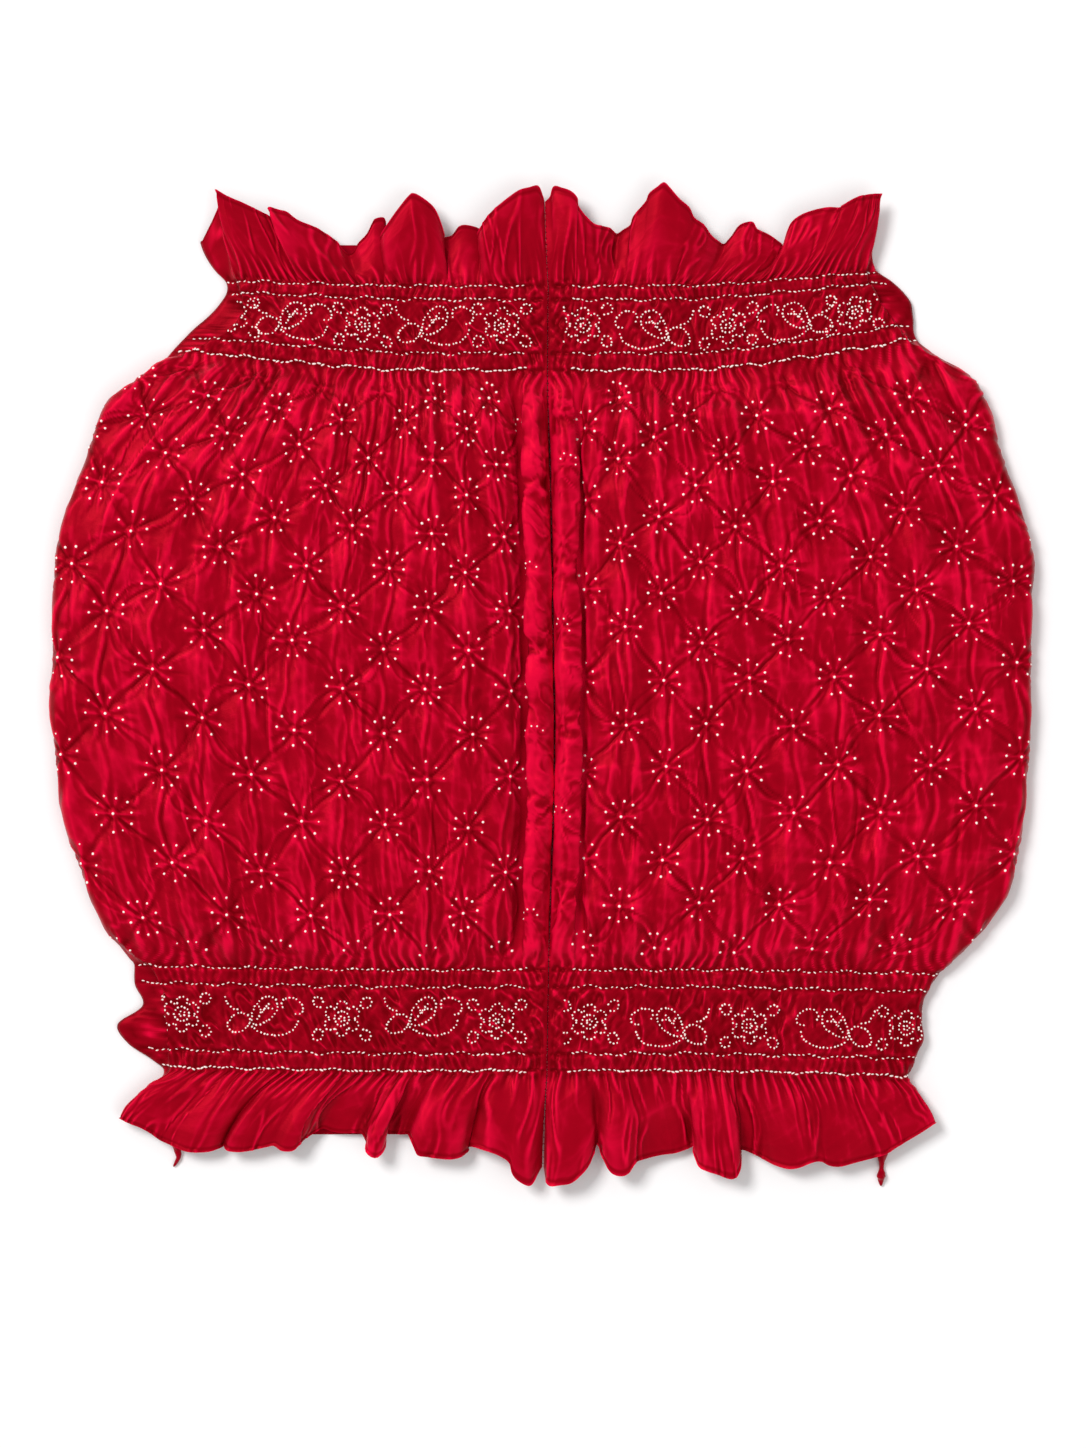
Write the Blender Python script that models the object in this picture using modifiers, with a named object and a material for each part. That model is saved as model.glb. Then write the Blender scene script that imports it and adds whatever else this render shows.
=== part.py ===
"""A tie-dyed silk cloth of two loom widths, still crinkled from its ties, with its sides folded under.

Metres, +Z up. X runs across the cloth and Y up its length, and the back layers lie on Z = 0. Each
width is one sheet: it starts at the middle seam, rolls, crosses the field, turns under at the side
and comes back beneath. The tables and sizes are in millimetres.
"""

import math
from collections import namedtuple

import bmesh
import bpy

MM = 0.001

# Cloth and the heights at which its layers lie.
CLOTH = 1.0
BACK_HEIGHT = CLOTH / 2
BAND_HEIGHT = 8.8
FIELD_HEIGHT = 14.4
SEAM_GAP = 0.3
BACK_END = 8.0

# Rows of tied flowers: row 0 lies just above the lower band, and rows draw closer towards the top.
FIRST_ROW_Y = -106.9
ROW_STEP = 22.09
ROW_SQUEEZE = 0.2585
LOWEST_ROW = -1
HIGHEST_ROW = 13
COLUMNS_ACROSS = 11
# How far a knot sinks below the open field, and how far the field itself rises and falls.
PUFF = 1.5
WANDER = 0.55
# The front layer's slope down to the side fold, and its hollow beside the roll, as shares of its width.
SLOPE_FROM = 0.72
SLOPE_IN_BAND = 0.1
SLOPE_IN_FIELD = 0.3
HOLLOW = 2.6
HOLLOW_TO = 0.16
# The bands' ruched pleats: their height, how many radians they turn to a millimetre, and their beat.
RUCHE = 0.5
RUCHE_ACROSS = 0.47
RUCHE_UP = 0.31
BEAT_ACROSS = 0.19
BEAT_UP = 0.124
# How far up the cloth the field and the roll take to reach their full height, from a band.
FIELD_RUN = 26.0
ROLL_RUN = 44.0
# The fold tucks in by this much, and is fully tucked where the back layer peeks out by the second.
TUCK = 5.0
FULL_PEEK = 14.0
# The outermost turn of the back layer, upper and lower.
LIP_HEIGHTS = (3.3, 1.7)

# The lines of dots that draw the two bands in, measured at the seam.
TOP_BAND_LEVELS = (149.2, 162.0, 172.0, 182.0, 188.7)
LOW_BAND_LEVELS = (-132.8, -142.0, -152.0, -161.0, -170.0, -176.0, -179.3, -182.6)
FRILL_SHARES = (0.25, 0.5, 0.75, 1.0)

# Two steps of the sheet to each column and each row of flowers, so that knots and puffs both show.
FIELD_COLUMNS = 2 * COLUMNS_ACROSS - 1
BACK_COLUMNS = 6

Level = namedtuple("Level", "y left_fold left_peek right_fold right_peek")
# How far each side's fold reaches, and how far the layer beneath peeks out past it.
SIDES = (
    Level(y=-182.6, left_fold=177.0, left_peek=1.0, right_fold=172.5, right_peek=0.0),
    Level(y=-176.0, left_fold=178.0, left_peek=6.0, right_fold=175.0, right_peek=0.0),
    Level(y=-170.0, left_fold=179.0, left_peek=13.0, right_fold=177.5, right_peek=0.0),
    Level(y=-161.0, left_fold=179.0, left_peek=22.0, right_fold=179.3, right_peek=0.0),
    Level(y=-152.0, left_fold=180.0, left_peek=9.0, right_fold=178.5, right_peek=0.0),
    Level(y=-142.0, left_fold=181.5, left_peek=10.5, right_fold=182.0, right_peek=0.0),
    Level(y=-132.8, left_fold=185.0, left_peek=7.0, right_fold=188.7, right_peek=0.0),
    Level(y=-126.0, left_fold=195.0, left_peek=2.5, right_fold=199.0, right_peek=0.0),
    Level(y=-119.0, left_fold=202.5, left_peek=0.0, right_fold=204.0, right_peek=0.0),
    Level(y=-114.0, left_fold=206.0, left_peek=0.0, right_fold=207.5, right_peek=0.0),
    Level(y=-100.0, left_fold=211.7, left_peek=0.0, right_fold=217.0, right_peek=0.0),
    Level(y=-77.0, left_fold=220.8, left_peek=0.0, right_fold=223.8, right_peek=0.0),
    Level(y=-39.0, left_fold=228.7, left_peek=0.0, right_fold=228.4, right_peek=0.0),
    Level(y=-6.0, left_fold=231.0, left_peek=0.0, right_fold=229.1, right_peek=0.0),
    Level(y=35.0, left_fold=230.5, left_peek=0.0, right_fold=230.0, right_peek=0.0),
    Level(y=60.0, left_fold=229.6, left_peek=0.0, right_fold=231.0, right_peek=0.0),
    Level(y=80.0, left_fold=225.5, left_peek=0.0, right_fold=226.0, right_peek=0.0),
    Level(y=109.0, left_fold=214.6, left_peek=0.0, right_fold=216.0, right_peek=0.0),
    Level(y=135.0, left_fold=203.7, left_peek=0.0, right_fold=207.5, right_peek=0.0),
    Level(y=147.0, left_fold=188.0, left_peek=0.0, right_fold=200.0, right_peek=0.0),
    Level(y=155.0, left_fold=176.0, left_peek=2.0, right_fold=188.0, right_peek=0.0),
    Level(y=162.0, left_fold=160.0, left_peek=12.0, right_fold=175.5, right_peek=3.0),
    Level(y=172.0, left_fold=146.5, left_peek=14.0, right_fold=168.0, right_peek=7.0),
    Level(y=182.0, left_fold=143.0, left_peek=8.0, right_fold=160.5, right_peek=12.0),
    Level(y=190.0, left_fold=146.0, left_peek=4.0, right_fold=156.0, right_peek=10.0),
    Level(y=198.0, left_fold=147.0, left_peek=6.0, right_fold=154.0, right_peek=2.0),
)

Rise = namedtuple("Rise", "y left right")
# How much higher a row of the cloth lies at its side fold than at the seam.
RISES = (
    Rise(y=-182.6, left=2.0, right=-2.5),
    Rise(y=-132.8, left=2.0, right=-2.0),
    Rise(y=-107.0, left=1.0, right=1.0),
    Rise(y=71.0, left=26.0, right=15.0),
    Rise(y=121.0, left=22.0, right=15.0),
    Rise(y=149.2, left=9.4, right=14.5),
    Rise(y=188.7, left=2.4, right=6.5),
)

SeamPoint = namedtuple("SeamPoint", "y x")
SEAM_LINE = (
    SeamPoint(y=-228.0, x=1.2),
    SeamPoint(y=-133.0, x=2.6),
    SeamPoint(y=-100.0, x=3.5),
    SeamPoint(y=-34.0, x=5.4),
    SeamPoint(y=41.0, x=4.5),
    SeamPoint(y=98.0, x=3.5),
    SeamPoint(y=147.0, x=2.1),
    SeamPoint(y=229.0, x=3.1),
)

RollPoint = namedtuple("RollPoint", "name across height flat_across")
# The loose roll beside the seam, and where the same points lie in a band, where it is drawn flat.
ROLL = (
    RollPoint(name="seam", across=SEAM_GAP / 2, height=5.6, flat_across=SEAM_GAP / 2),
    RollPoint(name="rise", across=1.1, height=10.2, flat_across=2.6),
    RollPoint(name="inner crown", across=4.2, height=13.6, flat_across=5.2),
    RollPoint(name="outer crown", across=9.2, height=14.0, flat_across=8.0),
    RollPoint(name="lip", across=13.0, height=12.7, flat_across=11.0),
    RollPoint(name="tuck", across=9.8, height=9.3, flat_across=13.6),
    RollPoint(name="out", across=14.8, height=8.5, flat_across=16.6),
)

Hem = namedtuple("Hem", "x y height")
# The frills' hems from the seam out to the side fold, one row for each crest or valley.
TOP_LEFT_HEM = (
    Hem(x=2.4, y=229.1, height=6.0),
    Hem(x=-0.7, y=235.7, height=10.0),
    Hem(x=-8.7, y=234.3, height=12.0),
    Hem(x=-18.1, y=230.1, height=10.0),
    Hem(x=-25.6, y=218.8, height=5.0),
    Hem(x=-39.2, y=217.8, height=4.4),
    Hem(x=-48.2, y=218.8, height=7.0),
    Hem(x=-58.5, y=231.5, height=12.5),
    Hem(x=-69.8, y=221.6, height=8.0),
    Hem(x=-88.6, y=205.6, height=4.4),
    Hem(x=-106.5, y=216.0, height=7.0),
    Hem(x=-125.3, y=225.4, height=11.5),
    Hem(x=-134.7, y=226.8, height=7.0),
    Hem(x=-151.1, y=233.4, height=10.5),
)
TOP_RIGHT_HEM = (
    Hem(x=4.0, y=229.1, height=6.0),
    Hem(x=6.8, y=235.7, height=10.0),
    Hem(x=15.7, y=232.0, height=12.0),
    Hem(x=20.4, y=223.5, height=8.0),
    Hem(x=36.9, y=213.1, height=4.4),
    Hem(x=47.7, y=227.7, height=8.0),
    Hem(x=59.0, y=236.6, height=12.5),
    Hem(x=71.2, y=224.0, height=9.0),
    Hem(x=85.3, y=209.9, height=4.4),
    Hem(x=100.3, y=219.3, height=8.5),
    Hem(x=114.4, y=210.3, height=4.4),
    Hem(x=119.1, y=222.5, height=9.0),
    Hem(x=140.8, y=226.8, height=12.0),
    Hem(x=160.5, y=232.0, height=9.5),
)
LOW_LEFT_HEM = (
    Hem(x=0.6, y=-227.7, height=6.0),
    Hem(x=-2.6, y=-233.8, height=10.0),
    Hem(x=-12.5, y=-224.9, height=12.0),
    Hem(x=-25.6, y=-218.3, height=5.0),
    Hem(x=-39.2, y=-221.6, height=10.0),
    Hem(x=-55.7, y=-220.2, height=11.5),
    Hem(x=-66.0, y=-209.9, height=4.4),
    Hem(x=-76.4, y=-220.7, height=12.5),
    Hem(x=-88.6, y=-210.8, height=4.4),
    Hem(x=-109.7, y=-211.3, height=5.0),
    Hem(x=-123.8, y=-216.9, height=10.0),
    Hem(x=-144.1, y=-216.9, height=6.0),
    Hem(x=-166.1, y=-218.3, height=11.0),
    Hem(x=-197.6, y=-202.3, height=8.5),
)
LOW_RIGHT_HEM = (
    Hem(x=2.2, y=-227.7, height=6.0),
    Hem(x=5.4, y=-233.8, height=10.0),
    Hem(x=15.7, y=-231.0, height=12.0),
    Hem(x=25.1, y=-219.7, height=5.0),
    Hem(x=35.0, y=-229.1, height=11.5),
    Hem(x=47.7, y=-221.1, height=5.0),
    Hem(x=67.4, y=-216.9, height=4.4),
    Hem(x=76.8, y=-225.8, height=11.0),
    Hem(x=90.9, y=-230.5, height=12.5),
    Hem(x=96.6, y=-218.3, height=5.0),
    Hem(x=115.9, y=-225.8, height=10.0),
    Hem(x=139.4, y=-224.0, height=8.0),
    Hem(x=161.4, y=-218.3, height=6.0),
    Hem(x=186.4, y=-205.6, height=9.5),
)

Flap = namedtuple("Flap", "x y hem_y")
# Where the back layer's frill turns its corner under the front one, and how far its own hem reaches.
TOP_LEFT_FLAP = Flap(x=-160.5, y=211.0, hem_y=209.0)
TOP_RIGHT_FLAP = Flap(x=158.0, y=203.0, hem_y=206.0)
LOW_LEFT_FLAP = Flap(x=-183.0, y=-207.0, hem_y=-211.0)
LOW_RIGHT_FLAP = Flap(x=172.0, y=-207.5, hem_y=-213.0)
# How the front frill's corner turns under: in from its tip, and down.
CORNER_IN = 2.0
CORNER_DROP = 4.0

Ring = namedtuple("Ring", "x y z radius")
# The corners of the back layer that end in a twist, down their length. They start inside the sheet.
LEFT_TWIST = (
    Ring(x=-170.0, y=-203.0, z=0.5, radius=0.35),
    Ring(x=-173.6, y=-214.0, z=2.3, radius=2.3),
    Ring(x=-172.4, y=-219.0, z=1.6, radius=1.6),
    Ring(x=-172.0, y=-222.0, z=1.3, radius=1.3),
    Ring(x=-174.4, y=-226.4, z=0.9, radius=0.9),
)
RIGHT_TWIST = (
    Ring(x=157.1, y=-203.1, z=0.5, radius=0.35),
    Ring(x=160.1, y=-215.5, z=2.7, radius=2.7),
    Ring(x=159.8, y=-223.1, z=1.9, radius=1.9),
    Ring(x=159.7, y=-229.1, z=2.5, radius=2.5),
    Ring(x=159.5, y=-233.7, z=1.2, radius=1.2),
    Ring(x=159.6, y=-235.5, z=1.4, radius=1.4),
)
TWIST_SIDES = 8
TWIST_TURN = math.radians(24)

SILK_RED = (0.55, 0.004, 0.028, 1.0)


def lerp(a, b, share):
    return a + (b - a) * share


def ease(share):
    share = min(1.0, max(0.0, share))
    return share * share * (3 - 2 * share)


def along(rows, key, value, at):
    """The value column of a table at a place in its key column, by a smooth curve through the rows."""
    keys = [getattr(row, key) for row in rows]
    values = [getattr(row, value) for row in rows]
    if at <= keys[0]:
        return values[0]
    if at >= keys[-1]:
        return values[-1]
    i = max(n for n, k in enumerate(keys) if k <= at)
    step = keys[i + 1] - keys[i]

    def slope(n):
        low, high = max(n - 1, 0), min(n + 1, len(rows) - 1)
        return (values[high] - values[low]) / (keys[high] - keys[low])

    t = (at - keys[i]) / step
    return (
        values[i] * (1 + 2 * t) * (1 - t) ** 2
        + slope(i) * step * t * (1 - t) ** 2
        + values[i + 1] * t * t * (3 - 2 * t)
        + slope(i + 1) * step * t * t * (t - 1)
    )


def hem_at(hem, share):
    """A point of a frill's hem, at a share of the way from the seam to the side fold."""
    place = share * (len(hem) - 1)
    i = min(int(place), len(hem) - 2)
    t = place - i
    return [lerp(a, b, t) for a, b in zip(hem[i], hem[i + 1])]


def ruche(across, y):
    """How much the pleats of a band raise or sink the cloth."""
    pleat = math.sin(RUCHE_ACROSS * across + RUCHE_UP * y)
    return RUCHE * pleat * math.cos(BEAT_ACROSS * across - BEAT_UP * y)


def row_y(row):
    """The height up the cloth of a row of tied flowers, at the seam."""
    return FIRST_ROW_Y + ROW_STEP * row - ROW_SQUEEZE * row * row


def cloth_levels():
    """The rows of the sheet between the frills, from the lower band to the upper, as (y, flower row)."""
    low = [(y, None) for y in reversed(LOW_BAND_LEVELS)]
    halves = [half / 2 for half in range(2 * LOWEST_ROW, 2 * HIGHEST_ROW + 1)]
    field = [(row_y(row), row) for row in halves]
    return low + field + [(y, None) for y in TOP_BAND_LEVELS]


class Width:
    """One loom width: its side of the seam, and the tables that shape it."""

    def __init__(self, name, side, top_hem, low_hem, top_flap, low_flap, twist):
        self.name = name
        self.side = side
        self.word = "right" if side > 0 else "left"
        self.top_hem, self.low_hem = top_hem, low_hem
        self.top_flap, self.low_flap = top_flap, low_flap
        self.twist = twist

    def fold(self, y):
        return along(SIDES, "y", self.word + "_fold", y)

    def peek(self, y):
        return max(0.0, along(SIDES, "y", self.word + "_peek", y))

    def rise(self, y, share):
        climb = max(0.0, (share - 0.4) / 0.6) ** 1.3
        return along(RISES, "y", self.word, y) * climb

    def ramp(self, y, run):
        """0 in the bands and 1 in the open field, reached after a run up the cloth."""
        low, high = LOW_BAND_LEVELS[0], TOP_BAND_LEVELS[0]
        return ease((y - low) / run) * ease((high - y) / run)

    def field_height(self, y, share, row, column):
        """The front layer's height: puffed between the flowers, sunk at them, and sloping at the side."""
        body = self.ramp(y, FIELD_RUN)
        height = lerp(BAND_HEIGHT, FIELD_HEIGHT, body)
        slope = lerp(SLOPE_IN_BAND, SLOPE_IN_FIELD, body)
        height *= 1 - slope * max(0.0, (share - SLOPE_FROM) / (1 - SLOPE_FROM)) ** 2
        height -= body * HOLLOW * ease((HOLLOW_TO - share) / 0.1)
        long_wave = math.sin(0.031 * y + 9.0 * share * self.side)
        short_wave = math.sin(0.052 * y - 14.0 * share + self.side)
        height += WANDER * body * (long_wave + short_wave) + (1 - body) * ruche(share * 170.0, y)
        if row is not None:
            height -= body * PUFF * math.cos(math.pi * column) * math.cos(math.pi * row)
        return height

    def section(self, y, row):
        """The points across the sheet at one level, from the seam round to the back's free edge."""
        seam = along(SEAM_LINE, "y", "x", y)
        body = self.ramp(y, FIELD_RUN)
        edge_y = y + self.rise(y, 1.0)
        fold = self.fold(edge_y)
        peek = self.peek(edge_y)
        points = []
        for spot in ROLL:
            across = lerp(spot.flat_across, spot.across, self.ramp(y, ROLL_RUN))
            height = lerp(BAND_HEIGHT + ruche(across, y), spot.height, body)
            points.append((seam + self.side * across, y, height))
        points[0] = self.seam_edge(points, seam, y)
        start = abs(points[-1][0] - seam)
        reach = fold - self.side * seam
        for n in range(1, FIELD_COLUMNS + 1):
            in_band = lerp(start / reach, 1.0, n / FIELD_COLUMNS)
            share = lerp(in_band, (n + 1) / (FIELD_COLUMNS + 1), body)
            across = share * reach - (0.0 if n < FIELD_COLUMNS else 2.2)
            column = share * COLUMNS_ACROSS
            height = self.field_height(y, share, row, column)
            points.append((seam + self.side * across, y + self.rise(y, share), height))
        return points + self.turn_under(y, edge_y, fold, peek)

    def seam_edge(self, points, seam, y):
        """The sheet's edge at the seam, set off by as much as the thick of a steep edge leans over."""
        across = abs(points[1][0] - seam) - SEAM_GAP / 2
        climb = points[1][2] - points[0][2]
        lean = climb / math.hypot(across, climb)
        return (seam + self.side * (SEAM_GAP / 2 + 0.05 + CLOTH / 2 * lean), y, points[0][2])

    def turn_under(self, y, edge_y, fold, peek):
        """The side fold and the back layer. Where the back peeks out, the fold tucks in above it."""
        tucked = ease(peek / FULL_PEEK)
        side, body = self.side, self.ramp(y, FIELD_RUN)
        points = [
            (side * (fold - TUCK * tucked), edge_y, lerp(lerp(5.8, 6.4, body), 5.4, tucked)),
            (side * (fold + peek - 0.8), edge_y, LIP_HEIGHTS[0]),
            (side * (fold + peek - lerp(2.5, 0.4, tucked)), edge_y, LIP_HEIGHTS[1]),
        ]
        under = fold + peek * tucked - 7.0
        for n in range(BACK_COLUMNS + 1):
            share = n / BACK_COLUMNS
            x = lerp(under, BACK_END, share)
            points.append((side * x, lerp(edge_y, y, ease(share)), BACK_HEIGHT))
        return points

    def hem_point(self, n, gathered, hem, flap):
        """Where column n of a frill meets its hem: front columns first, then the turn, then the back."""
        front = len(ROLL) + FIELD_COLUMNS
        if n < front:
            return hem_at(hem, n / (front - 1))
        corner = hem[-1]
        if n == front:
            y = lerp(corner.y, flap.y, 0.25)
            return (corner.x - self.side * CORNER_IN, y, corner.height - CORNER_DROP)
        if n <= front + 2:
            return (flap.x, flap.y, LIP_HEIGHTS[n - front - 1])
        inward = (n - front - 2) / (len(gathered) - 3 - front)
        x = gathered[n][0] + (flap.x - gathered[front + 1][0]) * (1 - inward) ** 2
        return (x, lerp(flap.y, flap.hem_y, min(1.0, 3 * inward)), BACK_HEIGHT)

    def frill_row(self, gathered, hem, flap, share):
        """One row of a frill, between the band's last line and the hem. A frill fans out early."""
        fan = share * (1.6 - 0.6 * share)
        points = []
        for n, (x, y, height) in enumerate(gathered):
            hem_x, hem_y, hem_height = self.hem_point(n, gathered, hem, flap)
            raised = lerp(height, hem_height, ease(share))
            points.append((lerp(x, hem_x, fan), lerp(y, hem_y, share), raised))
        return points

    def rows(self):
        """Every row of the sheet, from the lower hem to the upper one."""
        middle = [self.section(y, row) for y, row in cloth_levels()]
        low = [self.frill_row(middle[0], self.low_hem, self.low_flap, s) for s in FRILL_SHARES]
        top = [self.frill_row(middle[-1], self.top_hem, self.top_flap, s) for s in FRILL_SHARES]
        return low[::-1] + middle + top


def silk():
    material = bpy.data.materials.new("red_silk")
    material.use_nodes = True
    shader = material.node_tree.nodes["Principled BSDF"]
    shader.inputs["Base Color"].default_value = SILK_RED
    shader.inputs["Roughness"].default_value = 0.5
    shader.inputs["Metallic"].default_value = 0.0
    return material


def add_object(name, mesh, collection, material=None):
    item = bpy.data.objects.new(name, mesh)
    collection.objects.link(item)
    if material:
        mesh.materials.append(material)
    return item


def twist_guide(width, collection):
    """The twisted corner of the back layer, joined to the sheet afterwards."""
    shape = bmesh.new()
    first = width.twist[0]
    bmesh.ops.create_circle(shape, cap_ends=True, radius=first.radius * MM, segments=TWIST_SIDES)
    upright = [(vertex, vertex.co.copy()) for vertex in shape.verts]
    for vertex, flat in upright:
        vertex.co = (flat.x, 0.0, flat.y)
    bmesh.ops.translate(shape, verts=shape.verts, vec=(first.x * MM, first.y * MM, first.z * MM))
    tip = shape.faces[:]
    here = first
    for ring in width.twist[1:]:
        grown = bmesh.ops.extrude_face_region(shape, geom=tip)["geom"]
        if here is not first:
            bmesh.ops.delete(shape, geom=tip, context="FACES_ONLY")
        tip = [part for part in grown if isinstance(part, bmesh.types.BMFace)]
        moved = [part for part in grown if isinstance(part, bmesh.types.BMVert)]
        centre_from = (here.x * MM, here.y * MM, here.z * MM)
        centre_to = (ring.x * MM, ring.y * MM, ring.z * MM)
        turn = (math.cos(TWIST_TURN), math.sin(TWIST_TURN))
        for vertex in moved:
            across, up = vertex.co.x - centre_from[0], vertex.co.z - centre_from[2]
            grow = ring.radius / here.radius
            vertex.co.x = centre_to[0] + grow * (across * turn[0] - up * turn[1])
            vertex.co.z = centre_to[2] + grow * (across * turn[1] + up * turn[0])
            vertex.co.y = centre_to[1]
        here = ring
    bmesh.ops.recalc_face_normals(shape, faces=shape.faces)
    mesh = bpy.data.meshes.new(width.name + "_twist")
    shape.to_mesh(mesh)
    shape.free()
    guide = add_object(width.name + "_twist", mesh, collection)
    guide.hide_render = True
    guide.display_type = "WIRE"
    return guide


def cloth_width(width, collection, cutters, material):
    """One width as a sheet laid along its rows, thickened, with its twisted corner joined on.

    The sheet is cut into triangles before it is thickened, so that its two faces stay parallel.
    """
    rows = width.rows()
    down, across = len(rows) - 1, len(rows[0]) - 1
    shape = bmesh.new()
    bmesh.ops.create_grid(shape, x_segments=across, y_segments=down, size=0.5)
    for vertex in shape.verts:
        column = round((vertex.co.x + 0.5) * across)
        row = round((vertex.co.y + 0.5) * down)
        vertex.co = [part * MM for part in rows[row][column]]
    if width.side < 0:
        bmesh.ops.reverse_faces(shape, faces=shape.faces)
    mesh = bpy.data.meshes.new(width.name)
    shape.to_mesh(mesh)
    shape.free()
    mesh.shade_smooth()
    sheet = add_object(width.name, mesh, collection, material)
    facets = sheet.modifiers.new("facets", "TRIANGULATE")
    facets.quad_method = "SHORTEST_DIAGONAL"
    wall = sheet.modifiers.new("cloth", "SOLIDIFY")
    wall.thickness = CLOTH * MM
    wall.offset = 0.0
    join = sheet.modifiers.new("corner", "BOOLEAN")
    join.operation = "UNION"
    join.solver = "EXACT"
    join.object = twist_guide(width, cutters)
    return sheet


def main():
    for item in list(bpy.data.objects):
        bpy.data.objects.remove(item)
    cloth = bpy.data.collections.new("bandhani_cloth")
    guides = bpy.data.collections.new("guides")
    for collection in (cloth, guides):
        bpy.context.scene.collection.children.link(collection)
    material = silk()
    left = Width("left_width", -1, TOP_LEFT_HEM, LOW_LEFT_HEM, TOP_LEFT_FLAP, LOW_LEFT_FLAP, LEFT_TWIST)
    right = Width("right_width", 1, TOP_RIGHT_HEM, LOW_RIGHT_HEM, TOP_RIGHT_FLAP, LOW_RIGHT_FLAP, RIGHT_TWIST)
    for width in (left, right):
        cloth_width(width, cloth, guides, material)


main()
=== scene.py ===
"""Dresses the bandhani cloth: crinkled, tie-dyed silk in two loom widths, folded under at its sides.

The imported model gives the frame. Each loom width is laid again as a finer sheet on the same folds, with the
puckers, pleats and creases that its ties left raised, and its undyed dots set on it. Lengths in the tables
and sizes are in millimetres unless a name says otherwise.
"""

from __future__ import annotations

import logging
import math
from collections.abc import Sequence
from dataclasses import dataclass, field
from enum import Enum
from typing import NamedTuple

import bmesh
import bpy
import numpy as np
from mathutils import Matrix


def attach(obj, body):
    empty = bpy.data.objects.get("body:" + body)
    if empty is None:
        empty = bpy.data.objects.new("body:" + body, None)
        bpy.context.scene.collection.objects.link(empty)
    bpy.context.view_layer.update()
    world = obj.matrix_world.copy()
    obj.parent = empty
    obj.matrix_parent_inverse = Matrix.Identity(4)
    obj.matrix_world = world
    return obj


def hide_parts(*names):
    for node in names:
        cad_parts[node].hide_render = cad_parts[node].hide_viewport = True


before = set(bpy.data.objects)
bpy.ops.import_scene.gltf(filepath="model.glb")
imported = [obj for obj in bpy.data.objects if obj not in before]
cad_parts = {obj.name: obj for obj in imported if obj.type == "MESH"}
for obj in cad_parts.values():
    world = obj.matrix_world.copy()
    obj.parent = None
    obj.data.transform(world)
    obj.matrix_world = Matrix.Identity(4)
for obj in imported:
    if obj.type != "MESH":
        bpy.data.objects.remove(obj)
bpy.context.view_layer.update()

MM = 0.001
Grid = np.ndarray

# Sizes that the solids and this dress share


class Level(NamedTuple):
    """How far each side's fold reaches at a height, and how far the layer beneath peeks out."""

    y: float
    left_fold: float
    left_peek: float
    right_fold: float
    right_peek: float


class Rise(NamedTuple):
    """How much higher a row of the cloth lies at its side fold than at the seam."""

    y: float
    left: float
    right: float


class SeamPoint(NamedTuple):
    """Where the middle seam runs."""

    y: float
    x: float


class RollPoint(NamedTuple):
    """A point of the loose roll beside the seam, and where it lies in a band."""

    across: float
    height: float
    flat_across: float


class Hem(NamedTuple):
    """A point of a frill's hem, and the share of the gathered line at which its pleat has its root."""

    root: float
    x: float
    y: float
    height: float


class TieRow(NamedTuple):
    """The level of a row of tied flowers beside the seam, and how far apart its columns start there."""

    row: float
    left: float
    right: float
    left_step: float
    right_step: float


class Flap(NamedTuple):
    """Where the back layer's frill turns its corner, and how far its own hem reaches."""

    x: float
    y: float
    hem_y: float


BACK_HEIGHT = 0.5
BAND_HEIGHT = 8.8
FIELD_HEIGHT = 14.4
BACK_END = 8.0
FIRST_ROW_Y, ROW_STEP, ROW_SQUEEZE = -106.9, 22.09, 0.2585
LOWEST_ROW, HIGHEST_ROW = -1, 13
SLOPE_FROM, SLOPE_IN_BAND, SLOPE_IN_FIELD = 0.72, 0.1, 0.3
HOLLOW, HOLLOW_TO = 2.6, 0.16
FIELD_RUN, ROLL_RUN = 26.0, 44.0
TUCK, FULL_PEEK = 5.0, 14.0
LIP_HEIGHTS = (3.3, 1.7)
TOP_BAND_LEVELS = (149.2, 162.0, 172.0, 182.0, 188.7)
LOW_BAND_LEVELS = (-182.6, -179.3, -176.0, -170.0, -161.0, -152.0, -142.0, -132.8)
FRILL_SHARES = (0.25, 0.5, 0.75, 1.0)
FIELD_COLUMNS, BACK_COLUMNS = 21, 6
CORNER_IN, CORNER_DROP = 2.0, 4.0

SIDES = (
    Level(-182.6, 177.0, 1.0, 172.5, 0.0),
    Level(-176.0, 178.0, 6.0, 175.0, 0.0),
    Level(-170.0, 179.0, 13.0, 177.5, 0.0),
    Level(-161.0, 179.0, 22.0, 179.3, 0.0),
    Level(-152.0, 180.0, 9.0, 178.5, 0.0),
    Level(-142.0, 181.5, 10.5, 182.0, 0.0),
    Level(-132.8, 185.0, 7.0, 188.7, 0.0),
    Level(-126.0, 195.0, 2.5, 199.0, 0.0),
    Level(-119.0, 202.5, 0.0, 204.0, 0.0),
    Level(-114.0, 206.0, 0.0, 207.5, 0.0),
    Level(-100.0, 211.7, 0.0, 217.0, 0.0),
    Level(-77.0, 220.8, 0.0, 223.8, 0.0),
    Level(-39.0, 228.7, 0.0, 228.4, 0.0),
    Level(-6.0, 231.0, 0.0, 229.1, 0.0),
    Level(35.0, 230.5, 0.0, 230.0, 0.0),
    Level(60.0, 229.6, 0.0, 231.0, 0.0),
    Level(80.0, 225.5, 0.0, 226.0, 0.0),
    Level(109.0, 214.6, 0.0, 216.0, 0.0),
    Level(135.0, 203.7, 0.0, 207.5, 0.0),
    Level(147.0, 188.0, 0.0, 200.0, 0.0),
    Level(155.0, 176.0, 2.0, 188.0, 0.0),
    Level(162.0, 160.0, 12.0, 175.5, 3.0),
    Level(172.0, 146.5, 14.0, 168.0, 7.0),
    Level(182.0, 143.0, 8.0, 160.5, 12.0),
    Level(190.0, 146.0, 4.0, 156.0, 10.0),
    Level(198.0, 147.0, 6.0, 154.0, 2.0),
)
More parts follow.
